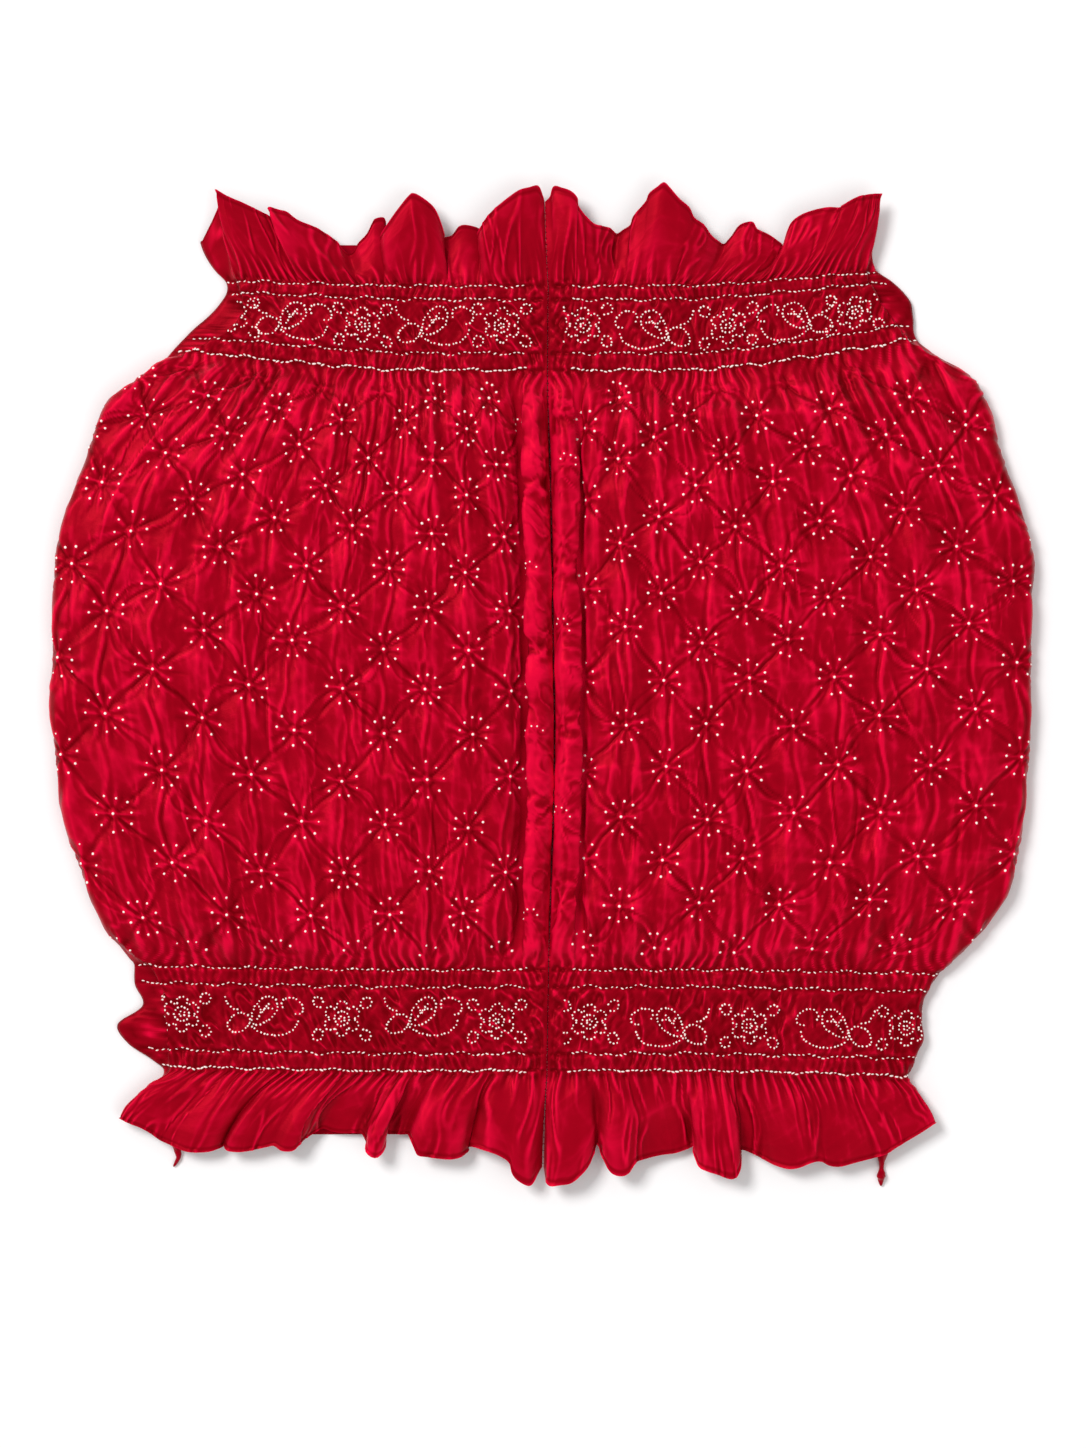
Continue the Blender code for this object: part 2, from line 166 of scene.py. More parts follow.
RISES = (
    Rise(-182.6, 2.0, -2.5),
    Rise(-132.8, 2.0, -2.0),
    Rise(-107.0, 1.0, 1.0),
    Rise(71.0, 26.0, 15.0),
    Rise(121.0, 22.0, 15.0),
    Rise(149.2, 9.4, 14.5),
    Rise(188.7, 2.4, 6.5),
)
SEAM_LINE = (
    SeamPoint(-228.0, 1.2),
    SeamPoint(-133.0, 2.6),
    SeamPoint(-100.0, 3.5),
    SeamPoint(-34.0, 5.4),
    SeamPoint(41.0, 4.5),
    SeamPoint(98.0, 3.5),
    SeamPoint(147.0, 2.1),
    SeamPoint(229.0, 3.1),
)
ROLL = (
    RollPoint(0.15, 5.6, 0.15),
    RollPoint(1.1, 10.2, 2.6),
    RollPoint(4.2, 13.6, 5.2),
    RollPoint(9.2, 14.0, 8.0),
    RollPoint(13.0, 12.7, 11.0),
    RollPoint(9.8, 9.3, 13.6),
    RollPoint(14.8, 8.5, 16.6),
)
TOP_LEFT_HEM = (
    Hem(0, 0.8, 228.6, 9),
    Hem(0.012, -0.1, 230.9, 10),
    Hem(0.03, -2.3, 235.8, 11),
    Hem(0.055, -6.6, 235.0, 12),
    Hem(0.085, -11.9, 233.2, 12.5),
    Hem(0.12, -19.1, 227.8, 13),
    Hem(0.15, -24.8, 222.7, 13),
    Hem(0.185, -29.0, 216.8, 12),
    Hem(0.205, -30.7, 213.3, 9),
    Hem(0.218, -29.6, 212.7, 5.2),
    Hem(0.232, -29.8, 216.3, 4.6),
    Hem(0.255, -35.6, 218.1, 5),
    Hem(0.27, -39.6, 217.5, 5),
    Hem(0.285, -43.0, 213.3, 4.6),
    Hem(0.3, -46.7, 212.4, 4.2),
    Hem(0.312, -47.8, 211.7, 5),
    Hem(0.322, -46.5, 212.2, 7.5),
    Hem(0.332, -47.1, 215.8, 9),
    Hem(0.345, -49.6, 222.7, 10.4),
    Hem(0.36, -52.2, 226.7, 11.2),
    Hem(0.38, -56.7, 230.1, 12),
    Hem(0.4, -60.7, 232.1, 12.6),
    Hem(0.418, -63.0, 230.9, 12.6),
    Hem(0.44, -67.5, 225.5, 12.2),
    Hem(0.465, -71.3, 220.4, 11.6),
    Hem(0.495, -75.2, 214.7, 10.4),
    Hem(0.51, -76.5, 212.2, 7.4),
    Hem(0.52, -74.2, 215.8, 5.2),
    Hem(0.53, -74.7, 221.3, 6),
    Hem(0.545, -78.9, 221.0, 6.4),
    Hem(0.555, -80.6, 218.7, 6.4),
    Hem(0.565, -83.1, 213.6, 6.4),
    Hem(0.58, -86.9, 209.6, 6),
    Hem(0.59, -89.2, 205.6, 5.2),
    Hem(0.6, -91.8, 204.5, 4.6),
    Hem(0.615, -94.5, 206.5, 6.4),
    Hem(0.63, -97.1, 210.1, 7.6),
    Hem(0.65, -101.7, 213.3, 8.8),
    Hem(0.67, -106.8, 216.4, 9.8),
    Hem(0.695, -113.7, 219.0, 10.6),
    Hem(0.71, -117.1, 221.0, 10.8),
    Hem(0.725, -120.5, 223.6, 11.2),
    Hem(0.74, -123.9, 224.4, 11.8),
    Hem(0.76, -128.7, 225.5, 12.6),
    Hem(0.775, -126.6, 220.9, 9.6),
    Hem(0.785, -125.3, 219.3, 6.6),
    Hem(0.8, -128.5, 222.0, 6.4),
    Hem(0.83, -134.4, 225.0, 7.6),
    Hem(0.87, -141.6, 228.4, 9),
    Hem(0.92, -148.3, 231.1, 10.4),
    Hem(1, -153.8, 234.3, 11),
)
TOP_RIGHT_HEM = (
    Hem(0, 0.9, 228.6, 9),
    Hem(0.015, 3.5, 231.0, 10),
    Hem(0.03, 5.2, 235.6, 11),
    Hem(0.05, 9.1, 234.8, 12),
    Hem(0.07, 13.2, 233.2, 12.5),
    Hem(0.085, 15.9, 230.3, 12.5),
    Hem(0.095, 16.3, 226.8, 12),
    Hem(0.11, 19.0, 222.7, 11.5),
    Hem(0.135, 23.7, 218.0, 10.5),
    Hem(0.15, 27.2, 217.2, 9),
    Hem(0.175, 31.3, 216.3, 7.5),
    Hem(0.195, 34.6, 214.0, 5.5),
    Hem(0.21, 37.7, 215.7, 6.5),
    Hem(0.225, 41.2, 218.0, 7.5),
    Hem(0.235, 42.4, 221.6, 8.5),
    Hem(0.25, 45.9, 225.6, 9.5),
    Hem(0.265, 48.8, 229.1, 10.5),
    Hem(0.275, 50.0, 232.3, 11),
    Hem(0.29, 53.7, 235.2, 12.2),
    Hem(0.305, 56.8, 237.3, 12.6),
    Hem(0.32, 59.4, 235.0, 12.6),
    Hem(0.345, 64.0, 229.7, 12.2),
    Hem(0.365, 68.7, 225.6, 11.8),
    Hem(0.385, 71.0, 221.0, 11.2),
    Hem(0.41, 75.7, 217.5, 10.4),
    Hem(0.435, 79.2, 212.8, 9),
    Hem(0.455, 82.7, 210.2, 7),
    Hem(0.47, 85.3, 209.3, 5),
    Hem(0.49, 88.6, 212.6, 5.6),
    Hem(0.515, 92.7, 218.0, 6.2),
    Hem(0.545, 98.5, 219.4, 6.8),
    Hem(0.56, 100.9, 216.1, 6.4),
    Hem(0.59, 106.1, 213.7, 6),
    Hem(0.615, 110.2, 211.0, 5.4),
    Hem(0.63, 112.9, 208.8, 4.8),
    Hem(0.645, 112.2, 207.4, 5.2),
    Hem(0.658, 113.6, 208.6, 7.8),
    Hem(0.675, 116.6, 218.0, 9.2),
    Hem(0.7, 121.3, 222.1, 10),
    Hem(0.73, 128.3, 224.7, 10.8),
    Hem(0.76, 134.8, 225.6, 11.2),
    Hem(0.785, 139.4, 225.4, 11.4),
    Hem(0.81, 141.4, 226.8, 12.2),
    Hem(0.85, 147.0, 230.1, 12.4),
    Hem(0.9, 152.9, 231.7, 12.2),
    Hem(1, 159.0, 232.2, 11),
)
LOW_LEFT_HEM = (
    Hem(0, -0.4, -225.7, 7),
    Hem(0.01, -3.1, -229.9, 9),
    Hem(0.022, -6.1, -234.1, 11),
    Hem(0.04, -10.9, -232.3, 12),
    Hem(0.055, -14.1, -228.9, 12.4),
    Hem(0.07, -15.7, -223.4, 12),
    Hem(0.09, -20.6, -219.9, 11.6),
    Hem(0.12, -28.1, -217.2, 11),
    Hem(0.137, -32.8, -216.1, 8.6),
    Hem(0.148, -35.0, -216.9, 6.4),
    Hem(0.158, -35.9, -218.6, 8),
    Hem(0.17, -38.9, -220.8, 10.4),
    Hem(0.19, -44.0, -221.6, 11.6),
    Hem(0.235, -54.3, -220.6, 12),
    Hem(0.25, -58.5, -219.9, 12),
    Hem(0.258, -59.9, -218.0, 11.6),
    Hem(0.275, -62.3, -212.4, 10.2),
    Hem(0.287, -63.4, -210.6, 6.4),
    Hem(0.298, -65.7, -210.8, 4.4),
    Hem(0.32, -69.5, -210.6, 4.4),
    Hem(0.338, -72.8, -210.3, 4.4),
    Hem(0.346, -74.2, -211.1, 5.6),
    Hem(0.352, -74.2, -214.7, 8.8),
    Hem(0.358, -75.6, -218.6, 11),
    Hem(0.367, -78.9, -221.0, 12.4),
    Hem(0.377, -82.6, -218.6, 12),
    Hem(0.385, -83.0, -215.1, 10),
    Hem(0.395, -84.4, -211.7, 6.5),
    Hem(0.407, -86.7, -210.0, 4.8),
    Hem(0.44, -94.3, -210.0, 4.6),
    Hem(0.465, -99.8, -209.2, 4.6),
    Hem(0.485, -104.0, -207.8, 4.8),
    Hem(0.505, -108.8, -210.3, 6.8),
    Hem(0.52, -111.6, -211.9, 8.8),
    Hem(0.535, -115.0, -215.1, 10.6),
    Hem(0.55, -117.8, -217.6, 11.6),
    Hem(0.57, -122.6, -217.6, 11.6),
    Hem(0.587, -126.3, -215.5, 10.2),
    Hem(0.61, -130.2, -216.1, 10),
    Hem(0.645, -138.5, -217.9, 10.4),
    Hem(0.67, -144.0, -218.3, 10.8),
    Hem(0.69, -148.4, -217.6, 11),
    Hem(0.7, -149.8, -216.1, 8.6),
    Hem(0.71, -150.6, -216.1, 6.2),
    Hem(0.722, -152.5, -216.9, 8),
    Hem(0.74, -157.1, -218.3, 9.5),
    Hem(0.77, -163.3, -218.6, 10),
    Hem(0.8, -168.8, -217.9, 9.5),
    Hem(0.835, -175.7, -215.1, 8),
    Hem(0.86, -180.4, -213.0, 7.4),
    Hem(0.885, -184.6, -210.0, 7.8),
    Hem(0.915, -189.2, -207.3, 8.2),
    Hem(0.95, -194.2, -205.3, 8.6),
    Hem(1, -199.4, -202.7, 8.6),
)
LOW_RIGHT_HEM = (
    Hem(0, 0.3, -225.9, 7),
    Hem(0.01, 1.4, -230.4, 10),
    Hem(0.022, 3.2, -233.9, 12),
    Hem(0.045, 8.1, -233.6, 12.6),
    Hem(0.065, 13.2, -232.7, 12.4),
    Hem(0.085, 17.7, -229.1, 12),
    Hem(0.105, 21.6, -224.6, 11.4),
    Hem(0.12, 23.8, -218.8, 10.2),
    Hem(0.13, 24.8, -215.6, 7.6),
    Hem(0.14, 26.1, -215.7, 7.6),
    Hem(0.155, 28.7, -222.0, 10.4),
    Hem(0.17, 31.9, -227.8, 12),
    Hem(0.19, 36.4, -229.5, 12.6),
    Hem(0.205, 40.3, -228.1, 12.2),
    Hem(0.22, 43.5, -223.3, 11),
    Hem(0.25, 49.3, -221.4, 8.5),
    Hem(0.285, 55.8, -220.1, 6.5),
    Hem(0.32, 62.2, -219.4, 5.4),
    Hem(0.355, 68.6, -217.3, 4.8),
    Hem(0.368, 71.2, -215.7, 4.6),
    Hem(0.377, 71.5, -214.4, 6),
    Hem(0.386, 71.2, -218.2, 8.8),
    Hem(0.395, 72.5, -222.7, 10.6),
    Hem(0.405, 74.4, -225.9, 11.8),
    Hem(0.44, 81.5, -228.5, 12.6),
    Hem(0.47, 87.3, -230.7, 12.8),
    Hem(0.485, 90.6, -230.1, 12.4),
    Hem(0.495, 92.5, -226.5, 11.4),
    Hem(0.505, 93.0, -221.6, 9.6),
    Hem(0.515, 93.1, -218.5, 6.4),
    Hem(0.525, 94.4, -218.0, 4.8),
    Hem(0.55, 99.6, -220.1, 5),
    Hem(0.575, 104.7, -222.7, 6.2),
    Hem(0.6, 109.9, -225.0, 8.6),
    Hem(0.63, 115.7, -226.3, 10.4),
    Hem(0.655, 120.8, -225.5, 11),
    Hem(0.68, 126.0, -223.3, 11.4),
    Hem(0.705, 130.5, -222.7, 11),
    Hem(0.725, 134.4, -224.6, 10.8),
    Hem(0.755, 139.5, -225.2, 10.6),
    Hem(0.795, 147.3, -223.3, 10),
    Hem(0.835, 155.0, -221.4, 9.4),
    Hem(0.87, 161.4, -219.4, 8.8),
    Hem(0.895, 166.0, -216.5, 8.8),
    Hem(0.925, 171.1, -213.4, 9),
    Hem(0.96, 177.6, -209.5, 9.2),
    Hem(1, 184.4, -204.9, 9.5),
)
TOP_LEFT_FLAP = Flap(-160.5, 211.0, 209.0)
TOP_RIGHT_FLAP = Flap(152.0, 205.0, 206.0)
LOW_LEFT_FLAP = Flap(-183.0, -207.0, -211.0)
LOW_RIGHT_FLAP = Flap(172.0, -207.5, -213.0)

# Sizes of the dress alone

# The dotted lines that draw the bands in, by their level up the cloth.
LOW_LINES = (-133.0, -141.0, -172.0, -180.4)
TOP_LINES = (149.4, 157.0, 182.4, 188.9)
# The tied flowers: a column's usual step on the flat cloth, and how much each step grows outward.
COLUMN_STEP, COLUMN_GROWTH = 21.2, 0.22
TIE_ROWS = (
    TieRow(-2, -150.0, -143.0, 15.0, 16.0),
    TieRow(-1, -127.0, -122.7, 16.3, 17.0),
    TieRow(0, -107.2, -101.8, 17.3, 17.9),
    TieRow(2, -65.0, -60.5, 19.0, 18.9),
    TieRow(4, -21.6, -17.1, 19.6, 18.8),
    TieRow(6, 18.1, 27.0, 19.6, 18.5),
    TieRow(8, 53.6, 68.0, 18.2, 17.7),
    TieRow(10, 89.1, 106.3, 16.1, 16.4),
    TieRow(12, 121.3, 138.0, 13.5, 14.7),
    TieRow(14, 150.0, 167.0, 11.5, 13.0),
)
# The table of fixed chances for the ties is this many squared, and a diagonal of the lattice this long.
CHANCE_TABLE = 64
DIAGONAL_STEP = 29.0
# The columns that may have ties, and between which levels a flower's middle lies.
TIE_COLUMNS = range(-1, 13)
FLOWERS_FROM, FLOWERS_TO = LOW_LINES[0] + 2, TOP_LINES[0] - 12
# Across a control row: the roll's crease, where the relief fades out, and where the front turns under.
CREASE_FROM, CREASE_TO = 4.0, 6.4
RELIEF_END, RELIEF_FADE = 27.6, 2.2
FRONT_END = 29.0
# The loose rolls are pinched in at this step.
PINCH_STEP = 75.0
# The bare tip of a dot, as a share of the whole dot.
DOT_TIP = 0.6
FRILL_RUN = 45.0


class Side(Enum):
    """The two loom widths, by the way each runs from the seam."""

    LEFT = -1
    RIGHT = 1


class Stretch(Enum):
    """The three stretches of a loom width, from one gathered line to the next."""

    LOW_BORDER = "low_border"
    FIELD = "field"
    TOP_BORDER = "top_border"


class Motif(Enum):
    """The two figures that alternate along a border."""

    FLOWER = "flower"
    LEAF = "leaf"


class BorderMotif(NamedTuple):
    """A figure of a border and the place of its centre: from the seam, and up the cloth."""

    kind: Motif
    across: float
    level: float


BORDER_MOTIFS = {
    (Side.LEFT, Stretch.TOP_BORDER): (
        BorderMotif(Motif.FLOWER, 21.4, 170.2),
        BorderMotif(Motif.LEAF, 53.6, 171.0),
        BorderMotif(Motif.FLOWER, 87.0, 169.3),
        BorderMotif(Motif.LEAF, 120.3, 170.5),
        BorderMotif(Motif.FLOWER, 149.5, 169.4),
    ),
    (Side.RIGHT, Stretch.TOP_BORDER): (
        BorderMotif(Motif.FLOWER, 16.5, 170.2),
        BorderMotif(Motif.LEAF, 50.5, 169.2),
        BorderMotif(Motif.FLOWER, 84.9, 168.4),
        BorderMotif(Motif.LEAF, 117.3, 168.6),
        BorderMotif(Motif.FLOWER, 144.5, 167.6),
    ),
    (Side.LEFT, Stretch.LOW_BORDER): (
        BorderMotif(Motif.FLOWER, 23.8, -156.8),
        BorderMotif(Motif.LEAF, 59.0, -153.6),
        BorderMotif(Motif.FLOWER, 96.6, -156.0),
        BorderMotif(Motif.LEAF, 133.7, -154.2),
        BorderMotif(Motif.FLOWER, 172.0, -155.4),
    ),
    (Side.RIGHT, Stretch.LOW_BORDER): (
        BorderMotif(Motif.FLOWER, 19.5, -157.2),
        BorderMotif(Motif.LEAF, 58.0, -158.6),
        BorderMotif(Motif.FLOWER, 94.7, -158.8),
        BorderMotif(Motif.LEAF, 135.6, -158.0),
        BorderMotif(Motif.FLOWER, 168.5, -158.0),
    ),
}


# Small sums


def ease(share: Grid | float) -> Grid:
    """A smooth step from 0 to 1.

    Args:
        share: Where on the step, from 0 to 1 and flat outside.

    Returns:
        The height of the step there.
    """
    share = np.clip(share, 0.0, 1.0)
    return share * share * (3 - 2 * share)


def lerp(a: Grid | float, b: Grid | float, share: Grid | float) -> Grid | float:
    """A straight blend.

    Args:
        a: The value at share 0.
        b: The value at share 1.
        share: Where between the two.

    Returns:
        The blended value.
    """
    return a + (b - a) * share


def bump(off: Grid | float, breadth: float) -> Grid:
    """A round bump.

    Args:
        off: How far from its middle.
        breadth: How far out it has sunk to about a third.

    Returns:
        Its height, 1 in the middle.
    """
    return np.exp(-((off / breadth) ** 2))


def between(at: Grid, low: float, high: float, soft: float) -> Grid:
    """A soft window.

    Args:
        at: The places to look at.
        low: Where the window opens.
        high: Where it closes.
        soft: How far it takes to open and to close.

    Returns:
        1 inside the window and 0 outside.
    """
    return ease((at - low) / soft) * ease((high - at) / soft)


def ridged(turns: Grid, power: float = 0.8) -> Grid:
    """A wave with thin ridges and round valleys.

    Args:
        turns: The phase, one ridge to each whole number.
        power: Under 1 for a sharper ridge.

    Returns:
        A height from -1 to 1.
    """
    return 1 - 2 * np.abs(np.sin(np.pi * turns)) ** power


def along(rows: Sequence[NamedTuple], value: str, at: float) -> float:
    """A column of a table that is keyed on y, by the smooth curve through its rows.

    Args:
        rows: The table, from its lowest y to its highest.
        value: The column's name.
        at: The y to read it at.

    Returns:
        The value there.
    """
    keys = [row.y for row in rows]
    values = [getattr(row, value) for row in rows]
    if at <= keys[0]:
        return values[0]
    if at >= keys[-1]:
        return values[-1]
    i = max(n for n, key in enumerate(keys) if key <= at)
    step = keys[i + 1] - keys[i]
    slopes = []
    for n in (i, i + 1):
        low, high = max(n - 1, 0), min(n + 1, len(rows) - 1)
        slopes.append((values[high] - values[low]) / (keys[high] - keys[low]))
    t = (at - keys[i]) / step
    return (
        values[i] * (1 + 2 * t) * (1 - t) ** 2
        + slopes[0] * step * t * (1 - t) ** 2
        + values[i + 1] * t * t * (3 - 2 * t)
        + slopes[1] * step * t * t * (t - 1)
    )


def row_level(row: Grid | float) -> Grid | float:
    """The level up the cloth of a row of tied flowers.

    Args:
        row: The row's number, counted from the lower band.

    Returns:
        Its level.
    """
    return FIRST_ROW_Y + ROW_STEP * row - ROW_SQUEEZE * row * row


def curve_weights(at: Grid, count: int) -> Grid:
    """How a smooth curve through control points weighs each of them.

    Args:
        at: Places along the curve, one to each control point.
        count: How many control points there are.

    Returns:
        One row of weights for each place.
    """
    first = np.clip(at.astype(int), 0, count - 2)
    t = at - first
    shares = (
        -0.5 * t + t**2 - 0.5 * t**3,
        1 - 2.5 * t**2 + 1.5 * t**3,
        0.5 * t + 2 * t**2 - 1.5 * t**3,
        -0.5 * t**2 + 0.5 * t**3,
    )
    weights = np.zeros((len(at), count))
    for offset, share in zip((-1, 0, 1, 2), shares):
        np.add.at(weights, (np.arange(len(at)), np.clip(first + offset, 0, count - 1)), share)
    return weights


def ring_count(chance: Grid | float) -> Grid | float:
    """How many pleats and dots a tie has round it, 8 to 10, from its fixed chance."""
    return np.round(8.2 + 1.8 * chance)


def mesh_points(mesh: bpy.types.Mesh) -> Grid:
    """Reads a mesh's points.

    Args:
        mesh: The mesh.

    Returns:
        One row for each point.
    """
    points = np.empty(len(mesh.vertices) * 3)
    mesh.vertices.foreach_get("co", points)
    return points.reshape(-1, 3)


def set_values(mesh: bpy.types.Mesh, name: str, values: Grid) -> None:
    """Gives every point of a mesh a value that its material reads.

    Args:
        mesh: The mesh.
        name: The attribute's name.
        values: One value for each point.
    """
    mesh.attributes.new(name, "FLOAT", "POINT").data.foreach_set("value", values)


def set_out(mesh: bpy.types.Mesh, material: bpy.types.Material) -> bpy.types.Object:
    """Sets a finished mesh out in the scene, under its own name.

    Args:
        mesh: The mesh.
        material: What it is made of.

    Returns:
        The object.
    """
    mesh.materials.append(material)
    piece = bpy.data.objects.new(mesh.name, mesh)
    bpy.context.scene.collection.objects.link(piece)
    return piece


def repeated(
    shape: bmesh.types.BMesh, name: str, count: int, step: float
) -> tuple[bpy.types.Mesh, Grid, Grid]:
    """Joins many copies of a small shape in one mesh, by an array.

    Args:
        shape: The shape, which is freed here.
        name: The mesh's name.
        count: How many copies.
        step: How far apart the array sets them, more than the shape's size.

    Returns:
        The mesh, each of its points as the shape has it, and the number of each point's copy.
    """
    mesh = bpy.data.meshes.new(name + "_one")
    shape.to_mesh(mesh)
    shape.free()
    one = bpy.data.objects.new(name + "_one", mesh)
    bpy.context.scene.collection.objects.link(one)
    copies = one.modifiers.new("copies", "ARRAY")
    copies.count = count
    copies.use_relative_offset = False
    copies.use_constant_offset = True
    copies.constant_offset_displace = (step, 0.0, 0.0)
    whole = bpy.data.meshes.new_from_object(one.evaluated_get(bpy.context.evaluated_depsgraph_get()))
    bpy.data.objects.remove(one)
    whole.name = name
    points = mesh_points(whole)
    which = np.rint(points[:, 0] / step).astype(int)
    points[:, 0] -= step * which
    return whole, points, which


@dataclass(frozen=True)
class Ripples:
    """Waves in every direction, from a fixed seed, that stand for the cloth's own unevenness."""

    seed: int
    length: float
    count: int = 9

    def waves(self, across: Grid, level: Grid, sharp: bool) -> Grid:
        """The sum of the waves.

        Args:
            across: Places across the cloth.
            level: Places up the cloth.
            sharp: Whether the waves are creases or round.

        Returns:
            A height whose usual size is about 1.
        """
        pick = np.random.default_rng(self.seed)
        total = np.zeros_like(across)
        for _ in range(self.count):
            turn, phase = pick.uniform(0, 2 * math.pi, 2)
            length = self.length * pick.uniform(0.65, 1.6)
            turns = (across * math.cos(turn) + level * math.sin(turn)) / length + phase
            total += ridged(turns / 2, 0.7) + 0.46 if sharp else np.sin(2 * math.pi * turns)
        return total / math.sqrt(self.count / 2)

    def creases(self, across: Grid, level: Grid, thin: float, often: float) -> Grid:
        """Thin creases that wander, come and go: each a raised line with a furrow beside it.

        Args:
            across: Places across the cloth.
            level: Places up the cloth.
            thin: Half the breadth of a line.
            often: How much of the cloth has them, about 0 for half of it.

        Returns:
            A height from -1 to 1.
        """
        off = self.waves(across, level, False) * self.length / (2 * math.pi)
        where = Ripples(self.seed + 100, 2.1 * self.length, 5).waves(across, level, False)
        line = bump(off, thin) - 0.7 * bump(off - 2.1 * thin, 1.2 * thin)
        return line * ease((where + often) / 0.8)


# Finishes


def linear(code: str) -> tuple[float, float, float, float]:
    """A colour as shaders take it.

    Args:
        code: The colour as an sRGB hex value.

    Returns:
        Linear red, green and blue, and an alpha of 1.
    """
    parts = [int(code[n : n + 2], 16) / 255 for n in (1, 3, 5)]
    turned = [p / 12.92 if p <= 0.04045 else ((p + 0.055) / 1.055) ** 2.4 for p in parts]
    return (*turned, 1.0)


def add_node(
    tree: bpy.types.NodeTree,
    kind: str,
    settings: dict | None = None,
    inputs: dict | None = None,
    links: dict | None = None,
) -> bpy.types.Node:
    """Adds a node with its settings, its sockets' values and its links.

    Args:
        tree: The material's or world's node tree.
        kind: The node's type.
        settings: Properties of the node.
        inputs: Values of its sockets, by name or number.
        links: Sockets that feed it, by the name or number of its own.

    Returns:
        The node.
    """
    node = tree.nodes.new(kind)
    for name, value in (settings or {}).items():
        setattr(node, name, value)
    for name, value in (inputs or {}).items():
        node.inputs[name].default_value = value
    for name, source in (links or {}).items():
        tree.links.new(source, node.inputs[name])
    return node


def empty_material(name: str) -> tuple[bpy.types.Material, bpy.types.Node]:
    """A material with nothing but its output.

    Args:
        name: The material's name.

    Returns:
        The material and its output node.
    """
    material = bpy.data.materials.new(name)
    material.use_nodes = True
    material.node_tree.nodes.clear()
    output = add_node(material.node_tree, "ShaderNodeOutputMaterial")
    return material, output


@dataclass(frozen=True)
class CrinkledSilk:
    """Thin silk, dyed crimson and still crinkled from its ties, with a soft satin gloss; its colours paint
    highlights on the crests and shade in the creases.
    """

    name: str = "crinkled_silk_crimson"
    lit: str = "#980218"
    # The next two colours are painted light: shade for the creases and a highlight for the crests.
    painted_crease_shade: str = "#660006"
    painted_crest_highlight: str = "#DC0836"
    mottle_length: float = 26.0
    slub_length: float = 1.6

    def material(self) -> bpy.types.Material:
        """Builds the node tree: dye mottled over the cloth, with painted shade in the creases and painted
        highlights on the crests.

        Returns:
            The material.
        """
        material, output = empty_material(self.name)
        tree = material.node_tree
        flat = add_node(tree, "ShaderNodeUVMap", {"uv_map": "flat_cloth"})
        # Dye takes unevenly over a few centimetres.
        mottle = add_node(
            tree,
            "ShaderNodeTexNoise",
            inputs={"Scale": 1 / self.mottle_length, "Detail": 3.0, "Roughness": 0.55},
            links={"Vector": flat.outputs["UV"]},
        )
        # The sheet's tone, which carries painted shade and painted highlights.
        fold = add_node(tree, "ShaderNodeAttribute", {"attribute_name": "painted_shade_tone"})
        uneven = add_node(
            tree,
            "ShaderNodeMapRange",
            inputs={1: 0.3, 2: 0.7, 3: -0.16, 4: 0.16},
            links={0: mottle.outputs["Fac"]},
        )
        depth = add_node(
            tree,
            "ShaderNodeMath",
            {"operation": "ADD", "use_clamp": True},
            links={0: fold.outputs["Fac"], 1: uneven.outputs["Result"]},
        )
        # The ramp runs from a painted highlight at 0 through the lit dye to painted shade at 1.
        dye = add_node(tree, "ShaderNodeValToRGB", links={"Fac": depth.outputs["Value"]})
        stops = dye.color_ramp.elements
        stops[0].position, stops[0].color = 0.0, linear(self.painted_crest_highlight)
        stops[1].position, stops[1].color = 1.0, linear(self.painted_crease_shade)
        middle = stops.new(0.42)
        middle.color = linear(self.lit)
        # Threads of about 0.1 mm are too fine to show, so their slubs are drawn about 1.6 mm long.
        slubs = add_node(
            tree,
            "ShaderNodeTexNoise",
            inputs={"Scale": 1 / self.slub_length, "Detail": 2.0, "Roughness": 0.6},
            links={"Vector": flat.outputs["UV"]},
        )
        bump = add_node(
            tree,
            "ShaderNodeBump",
            inputs={"Strength": 0.22, "Distance": 0.0003},
            links={"Height": slubs.outputs["Fac"]},
        )
        shader = add_node(
            tree,
            "ShaderNodeBsdfPrincipled",
            inputs={
                "Roughness": 0.38,
                "IOR": 1.45,
                "Specular IOR Level": 0.7,
                "Specular Tint": linear("#FF1C3A"),
                "Sheen Weight": 0.1,
                "Sheen Roughness": 0.4,
                "Sheen Tint": linear("#FF2448"),
            },
            links={"Base Color": dye.outputs["Color"], "Normal": bump.outputs["Normal"]},
        )
        tree.links.new(shader.outputs["BSDF"], output.inputs["Surface"])
        return material


@dataclass(frozen=True)
class UndyedSilk:
    """The tip of silk that a tie kept from the dye: off-white, with a pink rim where dye crept in."""

    name: str = "undyed_silk_dots"
    bare: str = "#FFF4EC"
    crept: str = "#E0304E"

    def material(self) -> bpy.types.Material:
        """Builds the node tree: bare silk at the tip, dye at the rim.

        Returns:
            The material.
        """
        material, output = empty_material(self.name)
        tree = material.node_tree
        bareness = add_node(tree, "ShaderNodeAttribute", {"attribute_name": "bareness"})
        dye = add_node(tree, "ShaderNodeValToRGB", links={"Fac": bareness.outputs["Fac"]})
        stops = dye.color_ramp.elements
        stops[0].position, stops[0].color = 0.05, linear(self.crept)
        stops[1].position, stops[1].color = 0.55, linear(self.bare)
        shader = add_node(
            tree,
            "ShaderNodeBsdfPrincipled",
            inputs={"Roughness": 0.55, "IOR": 1.54, "Sheen Weight": 0.2, "Sheen Roughness": 0.5},
            links={"Base Color": dye.outputs["Color"]},
        )
        tree.links.new(shader.outputs["BSDF"], output.inputs["Surface"])
        return material


